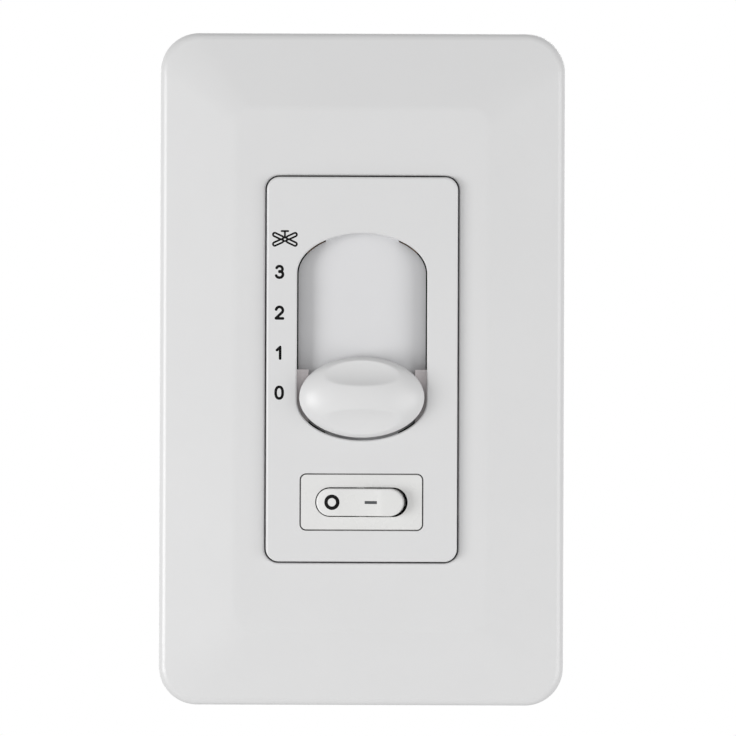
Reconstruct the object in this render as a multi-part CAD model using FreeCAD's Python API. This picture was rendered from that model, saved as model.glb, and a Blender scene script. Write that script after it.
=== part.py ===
import FreeCAD, Part
import math
import os

# Wall-box fan speed control: a clip-on plate, an insert panel with a four-position
# slide and a rocker for the light, and the mechanism and housing behind them.
# Everything is drawn lying flat: x to the right, y up the wall, z out of the wall
# towards the user, with z = 0 on the wall surface and the origin on the device's
# centre. The last step stands the parts up, so that the user looks along +Y.
# All lengths are millimetres and all angles degrees.

Vector = FreeCAD.Vector

# Wall plate
PLATE_WIDTH = 70.0
PLATE_HEIGHT = 116.3
PLATE_CORNER_RADIUS = 6.6
PLATE_RIM_HEIGHT = 3.9
PLATE_BEVEL_WIDTH = 13.2
PLATE_BEVEL_RISE = 2.6
PLATE_WALL = 1.5
PLATE_RIM_ROUNDING = 1.5
PLATE_CREASE_ROUNDING = 5.0
PLATEAU_CORNER_RADIUS = 3.0
PRY_NOTCH_WIDTH = 9.0
PRY_NOTCH_DEPTH = 1.0

# Opening in the plate, and the collar behind it
OPENING_WIDTH = 33.45
OPENING_HEIGHT = 66.75
OPENING_CORNER_RADIUS = 2.5
OPENING_ROUNDING = 0.35
COLLAR_WALL = 1.2

# Sub-plate that the plate clips onto, and the hooks that hold it
SUB_PLATE_THICKNESS = 1.6
SUB_PLATE_MARGIN = 5.0
SUB_PLATE_CORNER_RADIUS = 4.0
SUB_PLATE_RIB_WIDTH = 1.4
SUB_PLATE_RIB_INSET = 2.2
HOOK_LENGTH = 7.0
HOOK_THICKNESS = 1.1
HOOK_BITE = 0.6
HOOK_BARB_HEIGHT = 0.7
HOOK_SIDE_CLEARANCE = 0.3
HOOK_CLEARANCE = 0.15
HOOK_SPACING = 62.0

# Steel mounting yoke and its screws
YOKE_THICKNESS = 1.2
YOKE_FRAME_WIDTH = 43.0
YOKE_FRAME_HEIGHT = 73.0
YOKE_LENGTH = 99.3
YOKE_TAB_WIDTH = 24.0
YOKE_EAR_WIDTH = 38.0
YOKE_EAR_HEIGHT = 9.0
YOKE_CORNER_RADIUS = 2.5
BOX_SCREW_SPACING = 83.3
BOX_SCREW_RADIUS = 1.75
BOX_SCREW_NECK_RADIUS = 1.5
BOX_SCREW_LENGTH = 24.0
BOX_SCREW_HEAD_RADIUS = 3.4
BOX_SCREW_HEAD_HEIGHT = 2.0
BOX_SCREW_HEAD_BEVEL = 0.8
BOX_SCREW_CLEARANCE = 0.35
BOX_SCREW_ACCESS = 0.8
PLATE_SCREW_SPACING = 16.8
PLATE_SCREW_RADIUS = 1.7
PLATE_SCREW_LENGTH = 5.0
PLATE_SCREW_HEAD_RADIUS = 3.1
PLATE_SCREW_HEAD_HEIGHT = 1.2
THREAD_CLEARANCE = 0.06
WIRE_SIDES = 8
DRIVE_SLOT_WIDTH = 0.9
DRIVE_SLOT_DEPTH = 0.8

# Insert panel
PANEL_GAP = 0.3
PANEL_PROUD = 1.2
PANEL_WALL = 1.8
PANEL_SKIRT = 1.5
PANEL_EDGE_ROUNDING = 0.45
PANEL_YOKE_SEAT = 1.15
BOSS_RADIUS = 2.1
BOSS_CLEARANCE = 0.15
SLOT_TOP_MARGIN = 9.65
SLOT_EDGE_BEVEL = 0.2

# Slide knob
KNOB_WIDTH = 21.5
KNOB_HEIGHT = 13.86
KNOB_SIDE_GAP = 0.45
KNOB_END_GAP = 0.5
KNOB_EQUATOR_PROUD = 0.5
KNOB_CROWN = 4.1
SCOOP_RADIUS = 6.0
SCOOP_RIDGE_HALF_WIDTH = 1.87
SCOOP_DEPTH = 2.44
SCOOP_ROUNDING = 0.3
KNOB_SHOE_CLEARANCE = 0.15
KNOB_POCKET_CLEARANCE = 0.05
SPEED_PITCH = 6.93
SPEED_STEPS = 3

# Track floor under the slide, and the saddle that straddles it
FLOOR_RECESS = 2.65
FLOOR_CROWN_WIDTH = 12.6
FLOOR_FLANK_DROP = 0.75
FLOOR_CREASE_ROUNDING = 15.0
FLOOR_THICKNESS = 1.5
FLOOR_EDGE_GAP = 0.2
TRACK_POST_DEPTH = 2.4
SADDLE_CLEARANCE = 0.15
SHOE_PANEL_CLEARANCE = 0.3
BRIDGE_THICKNESS = 1.0
SHOE_LENGTH = 9.5
SHOE_VISIBLE_WIDTH = 2.0
BRIDGE_LENGTH = 6.4
LEG_THICKNESS = 1.5
LEG_CLEARANCE = 0.28
LEG_LENGTH = 7.6
SADDLE_POST_WIDTH = 7.0
SADDLE_POST_DEPTH = 3.0
SADDLE_POST_HEIGHT = 3.6

# Contact carrier, detent spring and wiper
CARRIER_LENGTH = 8.4
CARRIER_THICKNESS = 4.6
CARRIER_CLEARANCE = 0.6
CARRIER_FIT = 0.1
CARRIER_TAB_LENGTH = 3.2
CARRIER_TAB_HEIGHT = 1.6
DETENT_RADIUS = 0.9
DETENT_DEPTH = 0.5
DETENT_GROOVE_WIDTH = 5.0
DETENT_PLAY = 0.08
LEAF_THICKNESS = 0.25
LEAF_WIDTH = 3.4
LEAF_FOOT = 1.6
LEAF_POCKET_DEPTH = 1.0
WIPER_THICKNESS = 0.25
WIPER_WIDTH = 2.2
WIPER_SPREAD = 16.0
WIPER_REACH = 2.6
WIPER_PLAY = 0.08

# Contact board and what is mounted on it
BOARD_THICKNESS = 1.6
BOARD_CLEARANCE = 0.3
PAD_THICKNESS = 0.15
PAD_WIDTH = 3.4
PAD_LENGTH = 5.0
CAPACITOR_WIDTH = 28.5
CAPACITOR_HEIGHT = 20.0
CAPACITOR_DEPTH = 15.5
CAPACITOR_ROUNDING = 0.8
CAPACITOR_SPACING = 1.6
RESISTOR_RADIUS = 1.1
RESISTOR_LENGTH = 6.4
RESISTOR_LEAD_RADIUS = 0.3
RESISTOR_LEAD_SPAN = 9.0
RESISTOR_BEND_RADIUS = 0.6
RESISTOR_STANDOFF = 0.3
RESISTOR_SPACING = 14.0
SOLDER_TAIL = 1.6

# Rocker switch
ROCKER_BOTTOM_MARGIN = 10.25
ROCKER_FRAME_WIDTH = 20.8
ROCKER_FRAME_HEIGHT = 9.4
ROCKER_FRAME_GAP = 0.24
ROCKER_FRAME_CORNER_RADIUS = 0.9
ROCKER_FRAME_SINK = 0.06
ROCKER_FLANGE = 0.55
ROCKER_FLANGE_THICKNESS = 0.8
ROCKER_BODY_WALL = 1.75
ROCKER_END_WALL = 1.85
ROCKER_FLOOR = 1.6
ROCKER_LENGTH = 15.0
ROCKER_WIDTH = 4.7
ROCKER_END_GAP = 0.45
ROCKER_SIDE_GAP = 0.2
ROCKER_PIVOT_DEPTH = 2.0
ROCKER_EDGE_HEIGHT = 1.0
ROCKER_CREST_OFFSET = 4.0
ROCKER_CREST_RISE = 0.45
ROCKER_VALLEY_DROP = 0.4
ROCKER_SKIRT = 2.2
ROCKER_CREST_ROUNDING = 1.5
ROCKER_ROUNDING = 0.2
ROCKER_TILT = 7.0
PIVOT_RADIUS = 0.8
PIVOT_LENGTH = 1.1
PIVOT_CLEARANCE = 0.05
STEM_RADIUS = 1.6
STEM_LENGTH = 4.0
STEM_BORE_RADIUS = 0.9
STEM_BORE_DEPTH = 3.2
PLUNGER_CLEARANCE = 0.05
PLUNGER_PROUD = 1.2
PLUNGER_LENGTH = 2.4
PLUNGER_SPRING_WIRE = 0.22
PLUNGER_SPRING_PITCH = 0.45

# Contact arm and terminals inside the rocker switch
ARM_TILT = 5.0
ARM_THICKNESS = 0.4
ARM_WIDTH = 3.0
ARM_LENGTH = 10.0
ARM_HUMP_CLEARANCE = 0.05
ARM_PLUNGER_CLEARANCE = 0.1
ARM_STOP_CLEARANCE = 0.08
FULCRUM_RADIUS = 0.5
CONTACT_BUTTON_RADIUS = 0.7
CONTACT_BUTTON_HEIGHT = 0.3
TERMINAL_THICKNESS = 0.8
TERMINAL_PAD_LENGTH = 2.2

# Back housing
HOUSING_WIDTH = 42.0
HOUSING_HEIGHT = 67.2
HOUSING_DEPTH = 27.0
HOUSING_WALL = 1.8
HOUSING_CORNER_RADIUS = 3.0
HOUSING_ROUNDING = 1.4
COLUMN_WALL = 0.9
COLUMN_END_WALL = 4.0
BOARD_DEPTH = 3.9
CASE_SCREW_RADIUS = 1.3
CASE_SCREW_HEAD_RADIUS = 2.3
CASE_SCREW_HEAD_HEIGHT = 1.6
CASE_SCREW_HEAD_BEVEL = 0.6
CASE_SCREW_LENGTH = 12.0
CASE_SCREW_HEAD_CLEARANCE = 0.25
GROMMET_BORE_RADIUS = 3.2
GROMMET_WALL = 1.6
GROMMET_FLANGE = 1.2
GROMMET_FLANGE_THICKNESS = 1.1
GROMMET_FIT = 0.05
GROMMET_BOTTOM_MARGIN = 10.5

# Levels along z, worked out from the sizes above
plateau_z = PLATE_RIM_HEIGHT + PLATE_BEVEL_RISE
panel_front_z = plateau_z + PANEL_PROUD
panel_back_z = panel_front_z - PANEL_WALL
sub_plate_front_z = YOKE_THICKNESS + SUB_PLATE_THICKNESS
floor_z = panel_front_z - FLOOR_RECESS
floor_edge_z = floor_z - FLOOR_FLANK_DROP
floor_back_z = floor_z - FLOOR_THICKNESS
shoe_front_z = panel_back_z - SHOE_PANEL_CLEARANCE
bridge_front_z = floor_z + SADDLE_CLEARANCE + BRIDGE_THICKNESS
knob_foot_z = shoe_front_z + KNOB_SHOE_CLEARANCE
carrier_front_z = floor_back_z - CARRIER_CLEARANCE
carrier_back_z = carrier_front_z - CARRIER_THICKNESS
board_front_z = -BOARD_DEPTH
board_back_z = board_front_z - BOARD_THICKNESS
housing_back_z = -HOUSING_DEPTH
housing_floor_z = housing_back_z + HOUSING_WALL
column_step_z = board_back_z - COLUMN_END_WALL

# Places across the face, worked out from the sizes above
sub_plate_width = PLATE_WIDTH - 2 * SUB_PLATE_MARGIN
sub_plate_height = PLATE_HEIGHT - 2 * SUB_PLATE_MARGIN
panel_width = OPENING_WIDTH - 2 * PANEL_GAP
panel_height = OPENING_HEIGHT - 2 * PANEL_GAP
panel_corner_radius = OPENING_CORNER_RADIUS - PANEL_GAP
window_width = panel_width - 2 * PANEL_YOKE_SEAT
window_height = panel_height - 2 * PANEL_YOKE_SEAT
travel = SPEED_PITCH * SPEED_STEPS
slot_width = KNOB_WIDTH + 2 * KNOB_SIDE_GAP
slot_length = KNOB_HEIGHT + travel + 2 * KNOB_END_GAP
slot_top_y = panel_height / 2 - SLOT_TOP_MARGIN
slot_bottom_y = slot_top_y - slot_length
knob_y = slot_bottom_y + KNOB_END_GAP + KNOB_HEIGHT / 2
floor_half_width = slot_width / 2 - FLOOR_EDGE_GAP
leg_inner_x = floor_half_width + LEG_CLEARANCE
leg_outer_x = leg_inner_x + LEG_THICKNESS
wiper_tip_y = knob_y + CARRIER_LENGTH / 2 + WIPER_REACH
housing_inner_width = HOUSING_WIDTH - 2 * HOUSING_WALL
housing_inner_height = HOUSING_HEIGHT - 2 * HOUSING_WALL
boss_x = min(window_width, housing_inner_width) / 2 - BOSS_RADIUS - BOSS_CLEARANCE
boss_y = min(window_height, housing_inner_height) / 2 - BOSS_RADIUS - BOSS_CLEARANCE
head_bore_radius = CASE_SCREW_HEAD_RADIUS + CASE_SCREW_HEAD_CLEARANCE
column_radius = head_bore_radius + COLUMN_WALL
grommet_y = -housing_inner_height / 2 + GROMMET_BOTTOM_MARGIN

# Rocker switch, worked out from the sizes above
rocker_y = -panel_height / 2 + ROCKER_BOTTOM_MARGIN
rocker_front_z = panel_front_z - ROCKER_FRAME_SINK
rocker_pivot_z = rocker_front_z - ROCKER_PIVOT_DEPTH
chamber_length = ROCKER_LENGTH + 2 * ROCKER_END_GAP
chamber_width = ROCKER_WIDTH + 2 * ROCKER_SIDE_GAP
rocker_body_width = chamber_length + 2 * ROCKER_END_WALL
rocker_body_height = chamber_width + 2 * ROCKER_BODY_WALL
chamber_floor_z = board_front_z + ROCKER_FLOOR
plunger_tip_z = rocker_pivot_z - STEM_LENGTH - PLUNGER_PROUD
plunger_radius = STEM_BORE_RADIUS - PLUNGER_CLEARANCE
hump_radius = FULCRUM_RADIUS + ARM_HUMP_CLEARANCE + ARM_THICKNESS
arm_pivot_z = plunger_tip_z - ARM_PLUNGER_CLEARANCE - hump_radius

# The two capacitors lie midway between the switch's terminals and the screw columns
capacitor_middle_y = (rocker_y + ARM_WIDTH / 2 + boss_y - column_radius) / 2


def rounded_rectangle(width, height, radius, z=0.0, centre=(0.0, 0.0)):
    """Closed wire of a rectangle with round corners, at height z."""
    reach_x = width / 2 - radius
    reach_y = height / 2 - radius
    arcs = []
    for quarter, (sx, sy) in enumerate(((1, 1), (-1, 1), (-1, -1), (1, -1))):
        middle = Vector(centre[0] + sx * reach_x, centre[1] + sy * reach_y, z)
        circle = Part.Circle(middle, Vector(0, 0, 1), radius)
        start = quarter * math.pi / 2
        arcs.append(Part.ArcOfCircle(circle, start, start + math.pi / 2).toShape())
    edges = []
    for arc, following in zip(arcs, arcs[1:] + arcs[:1]):
        edges.append(arc)
        end = arc.Vertexes[-1].Point
        start = following.Vertexes[0].Point
        if end.distanceToPoint(start) > 1e-6:
            edges.append(Part.makeLine(end, start))
    return Part.Wire(edges)


def slab(width, height, radius, z_low, z_high, centre=(0.0, 0.0)):
    """Flat block with round corners between two heights."""
    outline = rounded_rectangle(width, height, radius, z_low, centre)
    return Part.Face(outline).extrude(Vector(0, 0, z_high - z_low))


def block(x, y, z):
    """Plain block from three (low, high) pairs."""
    size = [high - low for low, high in (x, y, z)]
    return Part.makeBox(*size, Vector(x[0], y[0], z[0]))


def stadium(length, width, z_low, z_high, centre=(0.0, 0.0)):
    """Block with half-round ends, its length along x."""
    return slab(length, width, width / 2, z_low, z_high, centre)


def rod(radius, z_low, z_high, centre=(0.0, 0.0)):
    """Round rod along z."""
    return Part.makeCylinder(radius, z_high - z_low, Vector(centre[0], centre[1], z_low))


def slot_prism(inset, z_low, z_high):
    """Prism of the slide's slot: straight sides and ends that follow the knob's curve."""
    half_width = slot_width / 2 - inset
    rise = KNOB_HEIGHT / 2 - inset
    top = slot_top_y - inset - rise
    bottom = slot_bottom_y + inset + rise
    upper = Part.Ellipse(Vector(0, top, z_low), half_width, rise)
    lower = Part.Ellipse(Vector(0, bottom, z_low), half_width, rise)
    outline = Part.Wire([
        Part.ArcOfEllipse(upper, 0, math.pi).toShape(),
        Part.makeLine(Vector(-half_width, top, z_low), Vector(-half_width, bottom, z_low)),
        Part.ArcOfEllipse(lower, math.pi, 2 * math.pi).toShape(),
        Part.makeLine(Vector(half_width, bottom, z_low), Vector(half_width, top, z_low)),
    ])
    return Part.Face(outline).extrude(Vector(0, 0, z_high - z_low))


def profile_along_x(points, x_low, x_high):
    """Straight-sided profile of (y, z) points, carried along x."""
    outline = Part.makePolygon([Vector(x_low, y, z) for y, z in points + points[:1]])
    return Part.Face(outline).extrude(Vector(x_high - x_low, 0, 0))


def profile_along_y(points, y_low, y_high):
    """Straight-sided profile of (x, z) points, carried along y."""
    outline = Part.makePolygon([Vector(x, y_low, z) for x, z in points + points[:1]])
    return Part.Face(outline).extrude(Vector(0, y_high - y_low, 0))


def strip_outline(middle, thickness):
    """Outline of a bent strip: its middle line moved half a thickness to each side."""
    def moved(side):
        line = []
        for i, point in enumerate(middle):
            before = middle[max(i - 1, 0)]
            after = middle[min(i + 1, len(middle) - 1)]
            run = math.hypot(after[0] - before[0], after[1] - before[1])
            normal = (-(after[1] - before[1]) / run, (after[0] - before[0]) / run)
            step = side * thickness / 2
            line.append((point[0] + step * normal[0], point[1] + step * normal[1]))
        return line
    return moved(1) + moved(-1)[::-1]


def edges_in_plane(shape, z):
    """Edges that lie flat at height z."""
    def lies_flat(edge):
        box = edge.BoundBox
        return abs(box.ZMin - z) < 1e-4 and abs(box.ZMax - z) < 1e-4
    return [edge for edge in shape.Edges if lies_flat(edge)]


def edges_inside(edges, half_width, half_height, centre=(0.0, 0.0)):
    """Those edges that lie within a rectangle about a centre."""
    def lies_inside(edge):
        box = edge.BoundBox
        across = max(abs(box.XMin - centre[0]), abs(box.XMax - centre[0]))
        along = max(abs(box.YMin - centre[1]), abs(box.YMax - centre[1]))
        return across < half_width and along < half_height
    return [edge for edge in edges if lies_inside(edge)]


def on_cylinder(shape, edge):
    """Whether a round cut meets the rest of the shape along this edge."""
    return any(isinstance(face.Surface, Part.Cylinder) for face in shape.ancestorsOfType(edge, Part.Face))


def wire_section(centre, direction, radius):
    """Many-sided outline of a round wire, square to a direction."""
    circle = Part.Circle(centre, direction, radius)
    corners = [circle.value(2 * math.pi * step / WIRE_SIDES) for step in range(WIRE_SIDES)]
    return Part.makePolygon(corners + corners[:1])


def mirrored_pair(shape):
    """A shape and its mirror image in the plane x = 0."""
    return [shape, shape.mirror(Vector(0, 0, 0), Vector(1, 0, 0))]


def corner_points(x, y):
    """The four corners of a rectangle about the origin."""
    return [(sx * x, sy * y) for sx in (-1, 1) for sy in (-1, 1)]


def drive_slot(head_radius, head_front_z, centre):
    """Cutter for a screwdriver slot across a screw's head."""
    return block(
        (centre[0] - head_radius * 1.1, centre[0] + head_radius * 1.1),
        (centre[1] - DRIVE_SLOT_WIDTH / 2, centre[1] + DRIVE_SLOT_WIDTH / 2),
        (head_front_z - DRIVE_SLOT_DEPTH, head_front_z + DRIVE_SLOT_DEPTH),
    )


def bevelled_form(inset):
    """Plate's outer form, taken in by inset: an upright rim and a border sloping to the plateau."""
    width = PLATE_WIDTH - 2 * inset
    height = PLATE_HEIGHT - 2 * inset
    radius = PLATE_CORNER_RADIUS - inset
    rim_z = PLATE_RIM_HEIGHT - inset
    rim = slab(width, height, radius, 0.0, rim_z)
    foot = rounded_rectangle(width, height, radius, rim_z)
    top_width = PLATE_WIDTH - 2 * PLATE_BEVEL_WIDTH
    top_height = PLATE_HEIGHT - 2 * PLATE_BEVEL_WIDTH
    top = rounded_rectangle(top_width, top_height, PLATEAU_CORNER_RADIUS, plateau_z - inset)
    return rim.fuse(Part.makeLoft([foot, top], True, True)).removeSplitter()


def wall_plate():
    """Clip-on plate: a bevelled shell with a collar round its opening and hooks in its sides."""
    outer = bevelled_form(0.0)
    outer = outer.makeFillet(PLATE_CREASE_ROUNDING, edges_in_plane(outer, plateau_z))
    outer = outer.makeFillet(PLATE_RIM_ROUNDING, edges_in_plane(outer, PLATE_RIM_HEIGHT))
    shell = outer.cut(bevelled_form(PLATE_WALL))
    collar = slab(
        OPENING_WIDTH + 2 * COLLAR_WALL,
        OPENING_HEIGHT + 2 * COLLAR_WALL,
        OPENING_CORNER_RADIUS + COLLAR_WALL,
        sub_plate_front_z,
        plateau_z - PLATE_WALL / 2,
    )
    opening = slab(
        OPENING_WIDTH, OPENING_HEIGHT, OPENING_CORNER_RADIUS, 0.0, plateau_z + PLATE_WALL
    )
    plate = shell.fuse([collar] + plate_hooks()).cut([opening, pry_notch()]).removeSplitter()
    lip = edges_inside(edges_in_plane(plate, plateau_z), OPENING_WIDTH, OPENING_HEIGHT / 2 + 1)
    return plate.makeFillet(OPENING_ROUNDING, lip)


def plate_hooks():
    """Four barbed legs behind the plate's long sides that grip the sub-plate's edge."""
    inner_x = sub_plate_width / 2 + HOOK_SIDE_CLEARANCE
    barb_z = YOKE_THICKNESS - HOOK_CLEARANCE
    leg = [
        (inner_x, plateau_z),
        (inner_x, barb_z),
        (inner_x - HOOK_SIDE_CLEARANCE - HOOK_BITE, barb_z),
        (inner_x, barb_z - HOOK_BARB_HEIGHT),
        (inner_x + HOOK_THICKNESS, barb_z - HOOK_BARB_HEIGHT),
        (inner_x + HOOK_THICKNESS, plateau_z),
    ]
    room = bevelled_form(PLATE_WALL / 2)
    hooks = []
    for y in (-HOOK_SPACING / 2, HOOK_SPACING / 2):
        hook = profile_along_y(leg, y - HOOK_LENGTH / 2, y + HOOK_LENGTH / 2).common(room)
        hooks += mirrored_pair(hook)
    return hooks


def pry_notch():
    """Cutter for the notch in the plate's lower edge that takes a screwdriver's tip."""
    return block(
        (-PRY_NOTCH_WIDTH / 2, PRY_NOTCH_WIDTH / 2),
        (-PLATE_HEIGHT / 2 - PLATE_WALL, -PLATE_HEIGHT / 2 + 2 * PLATE_WALL),
        (-PRY_NOTCH_DEPTH, PRY_NOTCH_DEPTH),
    )


def sub_plate():
    """Flat carrier under the plate, screwed to the yoke, with two ribs that stand on the wall."""
    sheet = slab(
        sub_plate_width, sub_plate_height, SUB_PLATE_CORNER_RADIUS, YOKE_THICKNESS, sub_plate_front_z
    )
    outer_x = sub_plate_width / 2 - SUB_PLATE_RIB_INSET
    reach_y = sub_plate_height / 2 - SUB_PLATE_CORNER_RADIUS
    rib = block((outer_x - SUB_PLATE_RIB_WIDTH, outer_x), (-reach_y, reach_y), (0.0, YOKE_THICKNESS))
    cutters = [slab(OPENING_WIDTH, OPENING_HEIGHT, OPENING_CORNER_RADIUS, 0.0, plateau_z)]
    for sign in (-1, 1):
        box_screw = (0.0, sign * BOX_SCREW_SPACING / 2)
        cutters.append(rod(BOX_SCREW_HEAD_RADIUS + BOX_SCREW_ACCESS, 0.0, plateau_z, box_screw))
    cutters += [plate_screw_form(centre, THREAD_CLEARANCE) for centre in plate_screw_places()]
    return sheet.fuse(mirrored_pair(rib)).cut(cutters).removeSplitter()


def plate_screw_places():
    """Four places for the sub-plate's screws, two beside each box screw."""
    return corner_points(PLATE_SCREW_SPACING / 2, BOX_SCREW_SPACING / 2)


def plate_screw_form(centre, extra):
    """Countersunk screw through the sub-plate into the yoke, grown by extra for its hole."""
    head_z = sub_plate_front_z - PLATE_SCREW_HEAD_HEIGHT
    shank = rod(PLATE_SCREW_RADIUS + extra, sub_plate_front_z - PLATE_SCREW_LENGTH, head_z, centre)
    head = Part.makeCone(
        PLATE_SCREW_RADIUS + extra,
        PLATE_SCREW_HEAD_RADIUS + extra,
        PLATE_SCREW_HEAD_HEIGHT,
        Vector(centre[0], centre[1], head_z),
    )
    return shank.fuse(head).removeSplitter()


def plate_screws():
    """Four countersunk screws that hold the sub-plate to the yoke."""
    screws = []
    for centre in plate_screw_places():
        slot = drive_slot(PLATE_SCREW_HEAD_RADIUS, sub_plate_front_z, centre)
        screws.append(plate_screw_form(centre, 0.0).cut(slot))
    return Part.makeCompound(screws)


def mounting_yoke():
    """Steel strap: a frame round the mechanism, with tabs and ears above and below it."""
    frame = slab(YOKE_FRAME_WIDTH, YOKE_FRAME_HEIGHT, YOKE_CORNER_RADIUS, 0.0, YOKE_THICKNESS)
    tabs = slab(YOKE_TAB_WIDTH, YOKE_LENGTH, YOKE_CORNER_RADIUS, 0.0, YOKE_THICKNESS)
    ears = []
    cutters = [slab(
        window_width, window_height, panel_corner_radius, -YOKE_THICKNESS, 2 * YOKE_THICKNESS
    )]
    for sign in (-1, 1):
        ear_y = sign * (YOKE_LENGTH - YOKE_EAR_HEIGHT) / 2
        ears.append(slab(
            YOKE_EAR_WIDTH, YOKE_EAR_HEIGHT, YOKE_CORNER_RADIUS, 0.0, YOKE_THICKNESS, (0.0, ear_y)
        ))
        box_screw = (0.0, sign * BOX_SCREW_SPACING / 2)
        box_hole = BOX_SCREW_RADIUS + BOX_SCREW_CLEARANCE
        cutters.append(rod(box_hole, -YOKE_THICKNESS, 2 * YOKE_THICKNESS, box_screw))
    plate_hole = PLATE_SCREW_RADIUS + THREAD_CLEARANCE
    for centre in plate_screw_places():
        cutters.append(rod(plate_hole, -YOKE_THICKNESS, 2 * YOKE_THICKNESS, centre))
    return frame.fuse([tabs] + ears).cut(cutters).removeSplitter()


def mounting_screws():
    """Two screws that hold the yoke to a wall box, each with a plain neck through the yoke."""
    screws = []
    for sign in (-1, 1):
        centre = (0.0, sign * BOX_SCREW_SPACING / 2)
        head_front_z = YOKE_THICKNESS + BOX_SCREW_HEAD_HEIGHT
        head = rod(BOX_SCREW_HEAD_RADIUS, YOKE_THICKNESS, head_front_z, centre)
        head = head.makeChamfer(BOX_SCREW_HEAD_BEVEL, edges_in_plane(head, head_front_z))
        neck = rod(BOX_SCREW_NECK_RADIUS, 0.0, YOKE_THICKNESS, centre)
        shank = rod(BOX_SCREW_RADIUS, YOKE_THICKNESS - BOX_SCREW_LENGTH, 0.0, centre)
        slot = drive_slot(BOX_SCREW_HEAD_RADIUS, head_front_z, centre)
        screws.append(head.fuse([neck, shank]).cut(slot).removeSplitter())
    return Part.makeCompound(screws)


def face_panel():
    """Insert panel: a shell with the slide's slot, the rocker's window and four screw bosses."""
    body = slab(panel_width, panel_height, panel_corner_radius, YOKE_THICKNESS, panel_front_z)
    body = body.makeFillet(PANEL_EDGE_ROUNDING, edges_in_plane(body, panel_front_z))
    cavity = slab(
        panel_width - 2 * PANEL_SKIRT,
        panel_height - 2 * PANEL_SKIRT,
        panel_corner_radius - PANEL_SKIRT / 2,
        0.0,
        panel_back_z,
    )
    bosses = []
    pilots = []
    for centre in corner_points(boss_x, boss_y):
        bosses.append(rod(BOSS_RADIUS, board_front_z, panel_back_z + PANEL_WALL / 2, centre))
        pilots.append(rod(
            CASE_SCREW_RADIUS + THREAD_CLEARANCE, board_front_z - PANEL_WALL, panel_back_z, centre
        ))
    window = slab(
        ROCKER_FRAME_WIDTH + 2 * ROCKER_FRAME_GAP,
        ROCKER_FRAME_HEIGHT + 2 * ROCKER_FRAME_GAP,
        ROCKER_FRAME_CORNER_RADIUS + ROCKER_FRAME_GAP,
        0.0,
        panel_front_z + PANEL_WALL,
        (0.0, rocker_y),
    )
    slot = slot_prism(0.0, 0.0, panel_front_z + PANEL_WALL)
    panel = body.cut(cavity).fuse(bosses).cut(pilots + [window, slot]).removeSplitter()
    rims = edges_inside(
        edges_in_plane(panel, panel_front_z),
        slot_width / 2 + SLOT_EDGE_BEVEL,
        slot_length / 2 + SLOT_EDGE_BEVEL,
        (0.0, (slot_top_y + slot_bottom_y) / 2),
    )
    return panel.makeChamfer(SLOT_EDGE_BEVEL, rims)


def floor_section(half_width, lift, y_low, y_high):
    """Bar with the floor's section: a flat crown and flanks that fall away to its sides."""
    crown = FLOOR_CROWN_WIDTH / 2
    section = [
        (-half_width, floor_back_z),
        (half_width, floor_back_z),
        (half_width, floor_edge_z + lift),
        (crown, floor_z + lift),
        (-crown, floor_z + lift),
        (-half_width, floor_edge_z + lift),
    ]
    return profile_along_y(section, y_low, y_high)


def slide_track():
    """Crowned floor of the slot on two posts, which stand on the board and reach up to the panel."""
    bar = floor_section(floor_half_width, 0.0, slot_bottom_y, slot_top_y)
    creases = [edge for edge in edges_in_plane(bar, floor_z) if edge.BoundBox.XLength < 1e-4]
    bar = bar.makeFillet(FLOOR_CREASE_ROUNDING, creases)
    inner_outline = slot_prism(FLOOR_EDGE_GAP, floor_back_z, panel_front_z)
    floor = bar.common(inner_outline)
    above_floor = slot_prism(0.0, floor_z, panel_front_z)
    posts = []
    for end_y, outward in ((slot_top_y, 1), (slot_bottom_y, -1)):
        reach = sorted((end_y - outward * TRACK_POST_DEPTH, end_y + outward * TRACK_POST_DEPTH))
        across = (-FLOOR_CROWN_WIDTH / 2, FLOOR_CROWN_WIDTH / 2)
        head = block(across, reach, (floor_back_z, panel_back_z))
        posts.append(head.cut([inner_outline, above_floor]))
        posts.append(block(across, reach, (board_front_z, floor_back_z)))
    return floor.fuse(posts).cut(detent_grooves()).removeSplitter()


def detent_grooves():
    """Cutters for the grooves under the track, one for each position of the knob."""
    axis_z = floor_back_z + DETENT_DEPTH - DETENT_RADIUS
    grooves = []
    for step in range(SPEED_STEPS + 1):
        start = Vector(-DETENT_GROOVE_WIDTH / 2, knob_y + step * SPEED_PITCH, axis_z)
        grooves.append(Part.makeCylinder(DETENT_RADIUS, DETENT_GROOVE_WIDTH, start, Vector(1, 0, 0)))
    return grooves


def saddle_bridge(extra):
    """Bridge over the crown and the post on it, grown by extra for the pocket in the knob."""
    inner_x = slot_width / 2 - SHOE_VISIBLE_WIDTH
    bridge = block(
        (-inner_x - extra, inner_x + extra),
        (knob_y - BRIDGE_LENGTH / 2 - extra, knob_y + BRIDGE_LENGTH / 2 + extra),
        (floor_back_z, bridge_front_z + extra),
    )
    post = block(
        (-SADDLE_POST_WIDTH / 2 - extra, SADDLE_POST_WIDTH / 2 + extra),
        (knob_y - SADDLE_POST_DEPTH / 2 - extra, knob_y + SADDLE_POST_DEPTH / 2 + extra),
        (floor_back_z, bridge_front_z + SADDLE_POST_HEIGHT + extra),
    )
    return bridge.fuse(post)


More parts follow.
